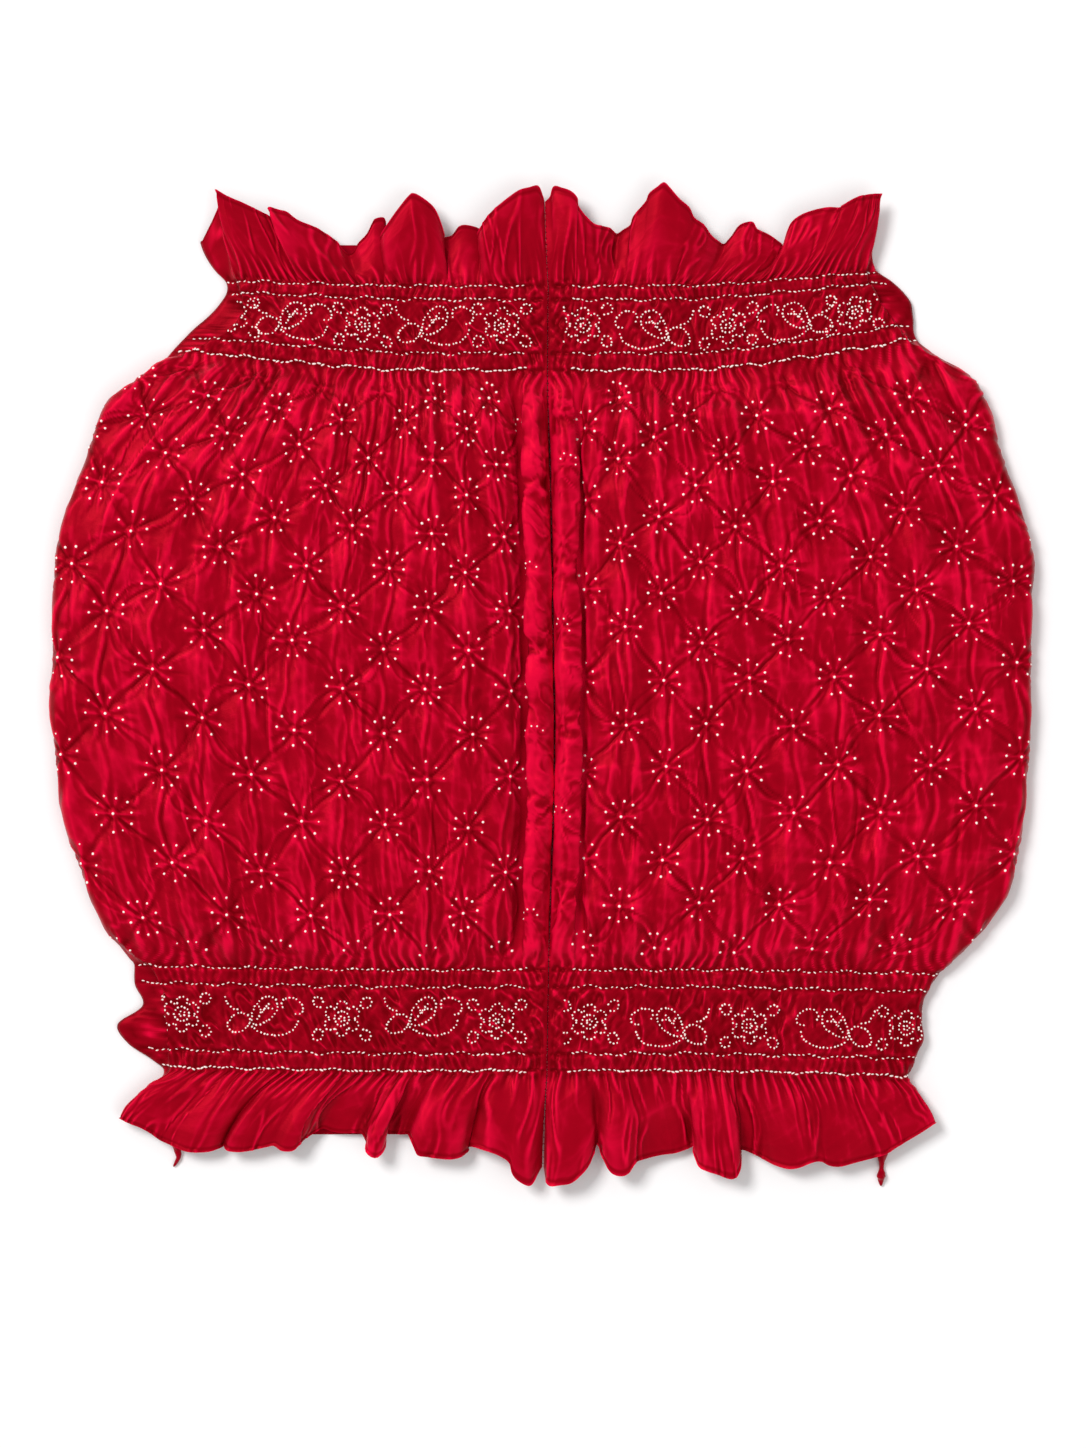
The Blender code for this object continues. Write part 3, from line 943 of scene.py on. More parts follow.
@dataclass(frozen=True)
class SewingThread:
    """Matt cotton thread, dyed with the cloth: a deep crimson line over the seam."""

    name: str = "cotton_thread_crimson"
    colour: str = "#6A0010"

    def material(self) -> bpy.types.Material:
        """Builds the node tree. The twist of a 0.3 mm thread is too fine to show.

        Returns:
            The material.
        """
        material, output = empty_material(self.name)
        shader = add_node(
            material.node_tree,
            "ShaderNodeBsdfPrincipled",
            inputs={"Base Color": linear(self.colour), "Roughness": 0.75, "Specular IOR Level": 0.08},
        )
        material.node_tree.links.new(shader.outputs["BSDF"], output.inputs["Surface"])
        return material


# The cloth


@dataclass(frozen=True)
class Dot:
    """A tied dot: where it lies on the cloth, its half lengths along and across, and how bare it is."""

    across: float
    level: float
    long: float = 0.85
    wide: float = 0.8
    turn: float = 0.0
    bare: float = 1.0
    pucker: float = 0.35


@dataclass
class LoomWidth:
    """One loom width of the cloth, from the seam round its side fold to the back's free edge."""

    side: Side
    top_hem: Sequence[Hem]
    low_hem: Sequence[Hem]
    top_flap: Flap
    low_flap: Flap
    seed: int = 3
    first_column: float = 39.5
    sag: float = 3.0
    front_step: float = 0.86
    back_step: float = 7.0
    field_step: float = 0.99
    border_step: float = 0.72
    pillow: float = 1.3
    grid: dict = field(default_factory=dict)

    @property
    def word(self) -> str:
        """The side's name."""
        return self.side.name.lower()

    @property
    def sign(self) -> int:
        """-1 on the left and 1 on the right."""
        return self.side.value

    # The folds, as the solids have them

    def ramp(self, y: float, run: float) -> float:
        """How far the cloth has opened out from its bands.

        Args:
            y: The level up the cloth.
            run: How far from a band it is fully open.

        Returns:
            0 in the bands and 1 in the open field.
        """
        return float(ease((y - LOW_BAND_LEVELS[-1]) / run) * ease((TOP_BAND_LEVELS[0] - y) / run))

    def rise(self, y: float, share: float) -> float:
        """How much higher the cloth lies there than at the seam.

        Args:
            y: The level at the seam.
            share: How far out, from 0 at the seam to 1 at the fold.

        Returns:
            The climb.
        """
        return along(RISES, self.word, y) * max(0.0, (share - 0.4) / 0.6) ** 1.3

    def front_height(self, y: float, share: float) -> float:
        """The front layer's own height, without its puckers.

        Args:
            y: The level at the seam.
            share: How far out, from 0 at the seam to 1 at the fold.

        Returns:
            The height above the floor.
        """
        body = self.ramp(y, FIELD_RUN)
        height = lerp(BAND_HEIGHT, FIELD_HEIGHT, body)
        slope = lerp(SLOPE_IN_BAND, SLOPE_IN_FIELD, body)
        height *= 1 - slope * max(0.0, (share - SLOPE_FROM) / (1 - SLOPE_FROM)) ** 2
        height -= body * HOLLOW * float(ease((HOLLOW_TO - share) / 0.1))
        return height

    def section(self, y: float) -> list[tuple[float, ...]]:
        """One row of control points, from the seam round to the back's free edge.

        Args:
            y: The level at the seam.

        Returns:
            x, y, height and millimetres from the seam of each point.
        """
        seam = along(SEAM_LINE, "x", y)
        body, rolled = self.ramp(y, FIELD_RUN), self.ramp(y, ROLL_RUN)
        edge_y = y + self.rise(y, 1.0)
        fold = along(SIDES, self.word + "_fold", edge_y)
        peek = max(0.0, along(SIDES, self.word + "_peek", edge_y))
        tucked = float(ease(peek / FULL_PEEK))
        sign = self.sign
        points = []
        for spot in ROLL:
            across = lerp(spot.flat_across, spot.across, rolled)
            points.append((seam + sign * across, y, lerp(BAND_HEIGHT, spot.height, body)))
        start = abs(points[-1][0] - seam)
        reach = fold - sign * seam
        for n in range(1, FIELD_COLUMNS + 1):
            in_band = lerp(start / reach, 1.0, n / FIELD_COLUMNS)
            share = lerp(in_band, (n + 1) / (FIELD_COLUMNS + 1), body)
            across = share * reach - (0.0 if n < FIELD_COLUMNS else 2.2)
            points.append((seam + sign * across, y + self.rise(y, share), self.front_height(y, share)))
        points += [
            (sign * (fold - TUCK * tucked), edge_y, lerp(lerp(5.8, 6.4, body), 5.4, tucked)),
            (sign * (fold + peek - 0.8), edge_y, LIP_HEIGHTS[0]),
            (sign * (fold + peek - lerp(2.5, 0.4, tucked)), edge_y, LIP_HEIGHTS[1]),
        ]
        under = fold + peek * tucked - 7.0
        for n in range(BACK_COLUMNS + 1):
            share = n / BACK_COLUMNS
            level = float(lerp(edge_y, y, ease(share)))
            points.append((sign * lerp(under, BACK_END, share), level, BACK_HEIGHT))
        return self.measured(points, body)

    @staticmethod
    def measured(points: list[tuple[float, ...]], body: float) -> list[tuple[float, ...]]:
        """Adds to a row's points how far across the cloth each lies.

        Args:
            points: The row's points.
            body: 0 in a band and 1 in the open field.

        Returns:
            The same points, each with its millimetres from the seam.
        """
        steps = [0.0] + [math.dist(a, b) for a, b in zip(points, points[1:])]
        run = np.cumsum(steps)
        out = len(ROLL) - 1
        flat = [spot.flat_across for spot in ROLL]
        turn = out + FIELD_COLUMNS
        rows = []
        for n, point in enumerate(points):
            if n <= out:
                across = lerp(flat[n], ROLL[out].across + run[n] - run[out], body)
            elif n < turn:
                across = abs(point[0] - points[0][0])
            else:
                across = abs(points[turn - 1][0] - points[0][0]) + run[n] - run[turn - 1]
            rows.append((*point, across))
        return rows

    @staticmethod
    def hem_curve(hem: Sequence[Hem], roots: Grid) -> Grid:
        """The front hem as a smooth curve through its table.

        Args:
            hem: The table.
            roots: Shares of the gathered line, from the seam to the fold.

        Returns:
            A point for each share.
        """
        rows = np.array(hem)
        places = np.interp(roots, rows[:, 0], np.arange(len(rows)))
        return curve_weights(places, len(rows)) @ rows[:, 1:]

    def hem_point(self, n: int, gathered: list, hem: Sequence[Hem], flap: Flap) -> tuple[float, float, float]:
        """Where a column of a frill meets its hem.

        Args:
            n: The column's number.
            gathered: The row of points at the gathered line.
            hem: The front hem's crests and valleys.
            flap: The back layer's corner.

        Returns:
            The point of the hem.
        """
        front = len(ROLL) + FIELD_COLUMNS
        if n < front:
            root = (gathered[n][3] - gathered[0][3]) / (gathered[front - 1][3] - gathered[0][3])
            return tuple(self.hem_curve(hem, np.array([root]))[0])
        corner = hem[-1]
        if n == front:
            turned_y = lerp(corner.y, flap.y, 0.25)
            return (corner.x - self.sign * CORNER_IN, turned_y, corner.height - CORNER_DROP)
        if n <= front + 2:
            return (flap.x, flap.y, LIP_HEIGHTS[n - front - 1])
        inward = (n - front - 2) / (len(gathered) - 3 - front)
        x = gathered[n][0] + (flap.x - gathered[front + 1][0]) * (1 - inward) ** 2
        return (x, lerp(flap.y, flap.hem_y, min(1.0, 3 * inward)), BACK_HEIGHT)

    def frill_row(
        self, gathered: list, hem: Sequence[Hem], flap: Flap, share: float
    ) -> list[tuple[float, ...]]:
        """One row of a frill.

        Args:
            gathered: The row of points at the gathered line.
            hem: The front hem's crests and valleys.
            flap: The back layer's corner.
            share: How far from the gathered line to the hem.

        Returns:
            The row's points, as section gives them.
        """
        fan = share * (1.6 - 0.6 * share)
        points = []
        for n, (x, y, height, across) in enumerate(gathered):
            hem_x, hem_y, hem_height = self.hem_point(n, gathered, hem, flap)
            raised = float(lerp(height, hem_height, ease(share)))
            points.append((lerp(x, hem_x, fan), lerp(y, hem_y, share), raised, across))
        return points

    def control(self) -> tuple[Grid, Grid]:
        """Every control row from the lower hem to the upper one.

        Returns:
            The points as rows, columns and values, and the level of each row.
        """
        halves = [row_level(half / 2) for half in range(2 * LOWEST_ROW, 2 * HIGHEST_ROW + 1)]
        levels = [*LOW_BAND_LEVELS, *halves, *TOP_BAND_LEVELS]
        middle = [self.section(y) for y in levels]
        low = [self.frill_row(middle[0], self.low_hem, self.low_flap, s) for s in reversed(FRILL_SHARES)]
        top = [self.frill_row(middle[-1], self.top_hem, self.top_flap, s) for s in FRILL_SHARES]
        below = [levels[0] - FRILL_RUN * s for s in reversed(FRILL_SHARES)]
        above = [levels[-1] + FRILL_RUN * s for s in FRILL_SHARES]
        return np.array([*low, *middle, *top]), np.array([*below, *levels, *above])

    # The fine sheet

    def lay(self) -> None:
        """Lays the fine sheet over the folds, ready for its puckers, pleats and creases."""
        control, levels = self.control()
        middle = control[len(levels) // 2]
        run = np.concatenate([[0.0], np.cumsum(np.linalg.norm(np.diff(middle[:, :3], axis=0), axis=1))])
        turned = len(ROLL) + FIELD_COLUMNS + 3
        front = np.linspace(0, run[turned], round(run[turned] / self.front_step) + 1)
        back = np.linspace(run[turned], run[-1], round((run[-1] - run[turned]) / self.back_step) + 1)
        columns = np.interp(np.concatenate([front, back[1:]]), run, np.arange(len(run)))
        marks = (levels[0], LOW_BAND_LEVELS[-1], TOP_BAND_LEVELS[0], levels[-1])
        steps = (self.border_step, self.field_step, self.border_step)
        places, self.grid["breaks"] = [marks[0]], [0]
        for low, high, step in zip(marks, marks[1:], steps):
            count = round((high - low) / step)
            places += list(np.linspace(low, high, count + 1)[1:])
            self.grid["breaks"].append(len(places) - 1)
        rows = np.interp(places, levels, np.arange(len(levels)))
        weigh_rows, weigh_columns = curve_weights(rows, len(levels)), curve_weights(columns, len(run))
        fine = np.einsum("rj,jkv,ck->rcv", weigh_rows, control, weigh_columns, optimize=True)
        self.grid["columns"], self.grid["levels"] = columns, np.array(places)
        self.lay_frill(fine, self.low_hem, levels[len(FRILL_SHARES)], -1)
        self.lay_frill(fine, self.top_hem, levels[-1 - len(FRILL_SHARES)], 1)
        self.grid["across"] = fine[..., 3]
        self.grid["loom"] = self.loom_place(fine[..., 3], self.grid["levels"][:, None])
        self.grid["base"] = fine[..., :3]

    def lay_frill(self, fine: Grid, hem: Sequence[Hem], line: float, way: int) -> None:
        """Lays a frill's front anew, finely enough for its overlapping folds.

        Args:
            fine: The fine grid of points, changed in place.
            hem: The front hem.
            line: The level of the gathered line.
            way: 1 for the upper frill and -1 for the lower.
        """
        front = int(np.searchsorted(self.grid["columns"], len(ROLL) + FIELD_COLUMNS - 1))
        levels = self.grid["levels"]
        start = int(np.argmin(np.abs(levels - line)))
        rows = np.arange(start, len(levels)) if way > 0 else np.arange(start, -1, -1)
        gathered = fine[start, :front]
        roots = (gathered[:, 3] - gathered[0, 3]) / (fine[start, front, 3] - gathered[0, 3])
        edge = self.hem_curve(hem, roots)
        last = ease((1 - roots) / 0.06)
        for row in rows:
            share = np.clip(abs(levels[row] - levels[start]) / FRILL_RUN, 0, 1)
            fan = share * (1.6 - 0.6 * share)
            billow = 2.0 * math.sin(math.pi * share**0.8) * (edge[:, 2] - 7.5) / 5 * last
            fine[row, :front, 0] = lerp(gathered[:, 0], edge[:, 0], fan)
            fine[row, :front, 1] = lerp(gathered[:, 1], edge[:, 1], share)
            fine[row, :front, 2] = lerp(gathered[:, 2], edge[:, 2], ease(share)) + billow

    def front_end(self) -> int:
        """The fine column at which the front turns under."""
        return int(np.interp(FRONT_END, self.grid["columns"], np.arange(len(self.grid["columns"]))))

    def normals(self, points: Grid) -> Grid:
        """Which way the cloth faces at every point of a grid.

        Args:
            points: The grid of points.

        Returns:
            Unit normals, outward on the front.
        """
        facing = self.sign * np.cross(np.gradient(points, axis=1), np.gradient(points, axis=0))
        return facing / np.maximum(np.linalg.norm(facing, axis=-1, keepdims=True), 1e-9)

    def tied_level(self, row: float) -> float:
        """The level of a tied row beside the seam.

        Args:
            row: The row, with its fraction.

        Returns:
            Its level.
        """
        levels = [getattr(tie, self.word) for tie in TIE_ROWS]
        return float(np.interp(row, [tie.row for tie in TIE_ROWS], levels))

    def loom_place(self, across: Grid, level: Grid) -> Grid:
        """A place on the flat loom width, where the tied columns stand evenly.

        Args:
            across: Millimetres from the seam.
            level: The level up the cloth.

        Returns:
            The place, COLUMN_STEP to a column.
        """
        levels = [getattr(tie, self.word) for tie in TIE_ROWS]
        step = np.interp(level, levels, [getattr(tie, self.word + "_step") for tie in TIE_ROWS])
        out = across - self.first_column
        under = np.sqrt(step**2 + 4 * COLUMN_GROWTH * np.maximum(out, 0.0))
        return COLUMN_STEP * (1 + np.where(out > 0, (under - step) / (2 * COLUMN_GROWTH), out / step))

    def sagged(self, column: Grid | float, level: Grid | float) -> Grid | float:
        """How far a row of ties has slipped from its level beside the seam.

        Args:
            column: The lattice column.
            level: The row's level beside the seam.

        Returns:
            The slip, upward.
        """
        return self.sag * ease((column - 0.8) / 2.6) * ease((level + 25.0) / 110.0)

    def warped(self, column: Grid | float, row: Grid | float) -> tuple[Grid | float, Grid | float]:
        """How far the ties stand from their even lattice.

        Args:
            column: The lattice column, with its fraction.
            row: The lattice row, with its fraction.

        Returns:
            The shift across and up, in columns and rows.
        """
        s = self.seed
        across = 0.04 * np.sin(1.9 * column + 0.8 * row + s) + 0.03 * np.sin(2.3 * row - 0.7 * column + 2 * s)
        up = 0.05 * np.sin(1.3 * column - 1.7 * row + 3 * s) + 0.04 * np.sin(2.6 * column + 0.5 * row + s)
        return across, up

    def flowers(self) -> list[tuple[int, int, float, float]]:
        """The tied flowers of the field.

        Returns:
            Column, row, place across the loom and level of each.
        """
        found = []
        for row in range(LOWEST_ROW, HIGHEST_ROW + 1):
            for column in TIE_COLUMNS:
                if (column + row) % 2 == 0:
                    continue
                c, r = float(column), float(row)
                for _ in range(5):
                    across, up = self.warped(c, r)
                    c, r = column - across, row - up
                level = self.tied_level(r)
                level += float(self.sagged(c, level))
                if FLOWERS_FROM < level < FLOWERS_TO:
                    found.append((column, row, COLUMN_STEP * c, level))
        return found

    def field_relief(self, loom: Grid, level: Grid) -> Grid:
        """The relief of the tied field: pillows, creases between the ties, and pleats round each.

        Args:
            loom: Places across the loom.
            level: Places up the cloth.

        Returns:
            How far the cloth stands out there.
        """
        rows, levels = [tie.row for tie in TIE_ROWS], [getattr(tie, self.word) for tie in TIE_ROWS]
        column = loom / COLUMN_STEP
        straight = level - self.sagged(column, level)
        row = np.interp(level - self.sagged(column, straight), levels, rows)
        across, up = self.warped(column, row)
        column, row = column + across, row + up
        p, q = (column + row - 1) / 2, (column - row - 1) / 2
        near_p, near_q = np.round(p).astype(int), np.round(q).astype(int)
        off_p, off_q = p - near_p, q - near_q
        table = self.chances()
        own = table[:4, near_p % CHANCE_TABLE, near_q % CHANCE_TABLE]
        cell_p, cell_q = np.floor(p).astype(int) % CHANCE_TABLE, np.floor(q).astype(int) % CHANCE_TABLE
        cell = table[4:8, cell_p, cell_q]
        out, turn = self.from_tie(off_p, off_q, np.interp(row, rows, np.gradient(levels, rows)))
        swell = (np.abs(np.sin(np.pi * p)) * np.abs(np.sin(np.pi * q))) ** 0.7
        away = ease((out - 3.0) / 9.0)
        lumps = Ripples(self.seed + 1, 15.0, 7).waves(loom, 0.6 * level, True)
        crumple = Ripples(self.seed + 2, 6.5, 12).waves(loom, 0.7 * level, True)
        waves = Ripples(self.seed + 3, 34.0).waves(loom, level, False)
        height = self.pillow * swell * (0.6 + 0.6 * cell[0] + 0.2 * waves)
        height += away * (0.36 * lumps + 0.13 * crumple)
        height += away * 0.38 * Ripples(self.seed + 60, 15.0, 6).creases(loom, 0.3 * level, 0.8, -0.3)
        height += away * 0.24 * Ripples(self.seed + 61, 10.0, 7).creases(loom, 0.4 * level, 0.7, -0.4)
        height += self.tie_creases(off_p, near_p, q, table[8:12])
        height += self.tie_creases(off_q, near_q, p, table[12:16])
        upright = (column - np.round(column)) * COLUMN_STEP + 3.0 * (cell[1] - 0.5)
        upright += 1.3 * np.sin(level / 6.0 + 7 * cell[2])
        height -= 0.55 * cell[3] * swell * bump(upright, 1.0)
        height += 0.50 * cell[3] * swell * bump(upright - 2.0, 1.0)
        return height + self.tie_pleats(out, turn, own) + self.long_folds(loom, level)

    @staticmethod
    def tie_creases(off: Grid, near: Grid, other: Grid, chances: Grid) -> Grid:
        """The creases from tie to tie along one set of the lattice's diagonals.

        Args:
            off: Offsets from the nearest diagonal.
            near: That diagonal's number.
            other: Places along it.
            chances: Four rows of the table of chances.

        Returns:
            How far the cloth stands out there.
        """
        between_ties = other - np.floor(other)
        key = np.floor(other).astype(int) % CHANCE_TABLE
        chance = chances[:, near % CHANCE_TABLE, key]
        bend = np.sin(np.pi * between_ties)
        wander = 3.4 * (chance[0] - 0.5) + 0.9 * np.sin(7 * between_ties + 6 * chance[1])
        side = off * DIAGONAL_STEP - bend * wander
        fades = 0.6 * bend * np.abs(np.sin(4 * between_ties + 5 * chance[3]))
        strong = (0.3 + 0.7 * chance[2]) * (1 - fades)
        lips = 0.30 * bump(side - 1.5, 0.7) + 0.22 * bump(side + 1.6, 0.7)
        height = strong * (lips - 0.43 * bump(side, 0.62))
        beside = side - np.sign(chance[1] - 0.5) * (3.2 + 1.6 * chance[3]) * bend
        return height + chance[3] * bend * (0.20 * bump(beside - 1.3, 0.6) - 0.26 * bump(beside, 0.6))

    @staticmethod
    def tie_pleats(out: Grid, turn: Grid, own: Grid) -> Grid:
        """The pleats that run out from each tie, the tip at its knot and the ring sunk round that.

        Args:
            out: Millimetres from the nearest tie.
            turn: The angle round it.
            own: That tie's four chances.

        Returns:
            How far the cloth stands out there.
        """
        phase = ring_count(own[1]) * turn / (2 * np.pi) + own[2]
        phase = phase + 0.035 * np.maximum(out - 6, 0) * (own[3] - 0.5)
        near = ease((out - 0.9) / 2.0) * (1 - ease((out - 6.4) / 3.0))
        beyond = ease((out - 6.0) / 3.0) * (1 - ease((out - 9.0) / 7.0))
        stays = 0.5 + 0.5 * np.sin(3.1 * np.round(phase) + 9 * own[0])
        spokes = 0.25 * near * ridged(phase, 1.0) + 0.26 * stays * beyond * ridged(phase, 0.8)
        return spokes + 0.75 * bump(out, 1.2) - 0.34 * bump(out - 2.6, 1.2)

    def chances(self) -> Grid:
        """A table of fixed chances for the ties, the cells between them and the creases."""
        return np.random.default_rng(self.seed).uniform(size=(16, CHANCE_TABLE, CHANCE_TABLE))

    @staticmethod
    def from_tie(off_p: Grid, off_q: Grid, step: Grid) -> tuple[Grid, Grid]:
        """How far a place lies from its nearest tie, and which way.

        Args:
            off_p: Its offset along the lattice's rising diagonals.
            off_q: Its offset along the falling ones.
            step: How far apart the rows are there.

        Returns:
            The distance in millimetres and the angle.
        """
        out_x = (off_p + off_q) * COLUMN_STEP
        out_y = (off_p - off_q) * step
        return np.hypot(out_x, out_y), np.arctan2(out_y, out_x)

    def long_folds(self, loom: Grid, level: Grid) -> Grid:
        """The soft upright folds that run into the field from the gathered bands.

        Args:
            loom: Places across the loom.
            level: Places up the cloth.

        Returns:
            How far the cloth stands out there.
        """
        lean = loom + 4.0 * np.sin(level / 41.0 + loom / 60.0) + 0.9 * np.sin(level / 13.0 + loom / 17.0)
        broad = np.sin(lean / 3.9 + 1.7 * np.sin(loom / 23.0)) + 0.8 * ridged(lean / 15.7 + 0.3, 0.8)
        narrow = ridged(lean / 8.6 + 0.35 * np.sin(loom / 13.0) + 0.2 * np.sin(level / 15.0), 0.75)
        narrow = narrow * (0.6 + 0.4 * np.sin(loom / 17.0 + level / 29.0))
        from_top, from_low = TOP_LINES[0] - level, level - LOW_LINES[0]
        hold = np.exp(-from_top / 60.0) + 0.8 * np.exp(-from_low / 32.0) + 0.38
        close = np.exp(-from_top / 30.0) + 0.9 * np.exp(-from_low / 20.0) + 0.14
        return 0.62 * hold * broad + 0.72 * close * narrow

    def border_relief(self, across: Grid, level: Grid) -> Grid:
        """The relief of the bands and frills: fine pleats held by the dotted lines, and crinkles between.

        Args:
            across: Millimetres from the seam.
            level: Places up the cloth.

        Returns:
            How far the cloth stands out there.
        """
        height = np.zeros_like(across)
        middle = 1 - ease((across - 8.5) / 3.5)
        sway = 1.1 * np.sin(level / 4.7 + across / 13.0) + 0.7 * np.sin(level / 2.9 - across / 7.0 + 1)
        uneven = 0.65 + 0.35 * np.sin(across / 9.0 + 2 * np.sin(across / 23.0))
        fine = ridged((across + sway) / 3.4, 0.9) * uneven
        crossed = ridged((across + 0.9 * level + sway) / 9.5) + ridged((across - 0.9 * level - sway) / 10.5)
        crumple = Ripples(self.seed + 5, 6.0, 12).waves(across, 0.8 * level, True)
        tucks = Ripples(self.seed + 6, 7.5, 7).creases(across, 0.7 * level, 0.75, 0.9)
        smocked = Ripples(self.seed + 7, 3.6, 9).waves(0.8 * across, level, True)
        nipped = Ripples(self.seed + 8, 3.4, 9).waves(1.2 * across, 0.5 * level, True)
        crinkled = 0.12 * crossed + 0.34 * crumple + 0.5 * tucks
        for lines in (sorted(LOW_LINES), TOP_LINES):
            for low, high in (lines[:2], lines[2:]):
                height += (0.3 * fine + 0.36 * nipped) * between(level, low - 1.5, high + 1.5, 1.5)
            height += crinkled * between(level, lines[1] - 1, lines[2] + 1, 4.0)
            height += 0.42 * smocked * middle * between(level, lines[0] - 4, lines[3] + 4, 3.0)
            for line in lines:
                height -= 0.75 * bump(level - line, 1.0)
        from_low, from_top = level - LOW_LINES[0], TOP_LINES[0] - level
        into_field = np.maximum(from_low, 0) * (level < 0) + np.maximum(from_top, 0) * (level > 0)
        inside = ((from_low > 0) & (from_top > 0)).astype(float)
        gathers = ridged((across + 1.5 * sway) / 5.2 + 0.3 * np.sin(across / 11.0), 0.8) * uneven
        height += inside * 0.95 * gathers * ease(into_field / 2.0) * np.exp(-into_field / 9.0)
        return height

    def frill_relief(self, across: Grid, level: Grid) -> Grid:
        """The relief of the frills: pleats that run from the gathered line and open towards the hem.

        Args:
            across: Millimetres from the seam, at the gathered line.
            level: Places up the cloth.

        Returns:
            How far the cloth stands out there.
        """
        below = LOW_LINES[3] - level
        above = level - TOP_LINES[3]
        run = np.maximum(np.maximum(below, above), 0.0)
        top = (above > 0).astype(float)
        wander = 1.6 * np.sin(run / 9.0 + across / 13.0 + 2 * top) + 0.8 * np.sin(run / 5.0 - across / 7.0)
        fine = ridged((across + 0.4 * wander) / 3.5, 0.8)
        middle = ridged((across + wander) / (7.0 + 1.2 * np.sin(across / 31.0)) + 0.3 * top, 0.7)
        comes_and_goes = 0.5 + 0.5 * np.sin(across / 5.3 + run / 13.0)
        thin = ridged((across + 1.4 * wander) / 4.6 + 0.4 * top, 0.45) * comes_and_goes
        opened = ease(run / 2.5)
        height = opened * 0.7 * fine * np.exp(-run / 3.6)
        height += opened * 0.75 * middle * bump(run - 4.0, 9.0)
        height += opened * 0.12 * thin * bump(run - 12.0, 12.0)
        height += 0.22 * Ripples(self.seed + 9, 11.0, 10).waves(across, 0.5 * level, True) * ease(run / 10)
        for n, length in enumerate((9.0, 6.0)):
            source = Ripples(self.seed + 70 + n, length, 5)
            height += 0.44 * source.creases(across + 0.5 * wander, 0.16 * level, 0.5, -0.2) * ease(run / 6)
        edge = np.minimum(level - self.grid["levels"][0], self.grid["levels"][-1] - level)
        height += 0.42 * bump(edge, 0.9) - 0.22 * bump(edge - 2.3, 0.7)
        return height

    def raise_relief(self, dots: Sequence[Dot]) -> None:
        """Moves the fine sheet out by its relief and by the pucker under every dot.

        Args:
            dots: The tied dots of this width.
        """
        grid = self.grid
        level = np.broadcast_to(grid["levels"][:, None], grid["across"].shape)
        columns = grid["columns"][None, :]
        body = ease((level - LOW_LINES[0]) / 14.0) * ease((TOP_LINES[0] - level) / 14.0)
        roll = 1 - ease((columns - CREASE_FROM) / 0.6) * ease((CREASE_TO - columns) / 0.5)
        on_roll = 1 - ease((columns - 4.4) / 1.5)
        height = self.field_relief(grid["loom"], level) * body * (1 - 0.62 * on_roll)
        height += self.border_relief(grid["across"], level)
        height += self.frill_relief(grid["across"], level)
        height += self.roll_relief(grid["across"], level) * on_roll * body
        from_seam, from_fold = ease((columns - 0.2) / 1.0), 1 - ease((columns - RELIEF_END) / RELIEF_FADE)
        keep = from_seam * from_fold * lerp(1.0, roll, body)
        height = height * keep
        for dot in dots:
            r, c = self.spot(dot.across, dot.level)
            r0, c0 = int(r), int(c)
            rows, cols = slice(max(r0 - 4, 0), r0 + 6), slice(max(c0 - 4, 0), c0 + 6)
            gap = np.linalg.norm(grid["base"][rows, cols] - self.sample(grid["base"], r, c), axis=-1)
            height[rows, cols] += dot.pucker * bump(gap, 1.15) * keep[:, cols][0]
        # The tone for the colour ramp, with painted shade in the hollows and painted highlights on crests and
        # rolls.
        grid["depth"] = self.dense_dye_and_painted_shade(height, level, body, on_roll)
        grid["cloth"] = grid["base"] + self.normals(grid["base"]) * height[..., None]
        grid["facing"] = self.normals(grid["cloth"])

    def roll_relief(self, across: Grid, level: Grid) -> Grid:
        """The puffs of the loose roll beside the seam, pinched in at an even step and wrinkled there.

        Args:
            across: Millimetres from the seam.
            level: Places up the cloth.

        Returns:
            How far the cloth stands out there.
        """
        spaced = (level + 19.0 * self.sign) / PINCH_STEP
        pinched = bump((spaced - np.round(spaced)) * PINCH_STEP, 8.0)
        wrinkle = Ripples(self.seed + 80, 5.0, 9).waves(across, level, True)
        rolling = Ripples(self.seed + 81, 15.0, 6).creases(1.4 * across, level, 0.8, 0.3)
        bulge = np.sin(level / 6.3 + 2.2 * np.sin(level / 23.0) + across / 9.0)
        bulge = bulge + 0.9 * np.sin(level / 13.0 + 2.0 * np.sin(level / 37.0) - across / 7.0)
        return 0.5 * bulge + 0.25 * rolling + pinched * (0.4 * wrinkle - 1.2) + 0.1 * wrinkle

    def dense_dye_and_painted_shade(self, height: Grid, level: Grid, body: Grid, on_roll: Grid) -> Grid:
        """The cloth's tone, with painted light: painted shade in the hollows, darker in the gathered bands
        partly for their denser dye and partly as painted shade, painted highlights on the rolls and their
        lamp-facing edges, and painted light in the crease beside the right roll.

        Args:
            height: The relief.
            level: Places up the cloth.
            body: 0 in the bands and 1 in the open field.
            on_roll: 1 on the loose roll and 0 beside it.

        Returns:
            From 0, a painted highlight on a crest, to 1, painted shade in the deepest crease.
        """
        # Below a blur of the relief the cloth gets painted shade, above it a painted highlight.
        smooth = height.copy()
        for _ in range(7):
            padded = np.pad(smooth, 1, mode="edge")
            smooth = (padded[:-2, 1:-1] + padded[2:, 1:-1] + padded[1:-1, :-2] + padded[1:-1, 2:]) / 4
        columns = self.grid["columns"][None, :]
        # Darker in the gathered bands: partly their denser dye, partly painted shade of the gathers.
        dense_dye_and_gather_shade = between(level, LOW_LINES[3] - 5, LOW_LINES[0] + 5, 4.0)
        dense_dye_and_gather_shade = dense_dye_and_gather_shade + between(level, TOP_LINES[0] - 5, TOP_LINES[3] + 5, 4.0)
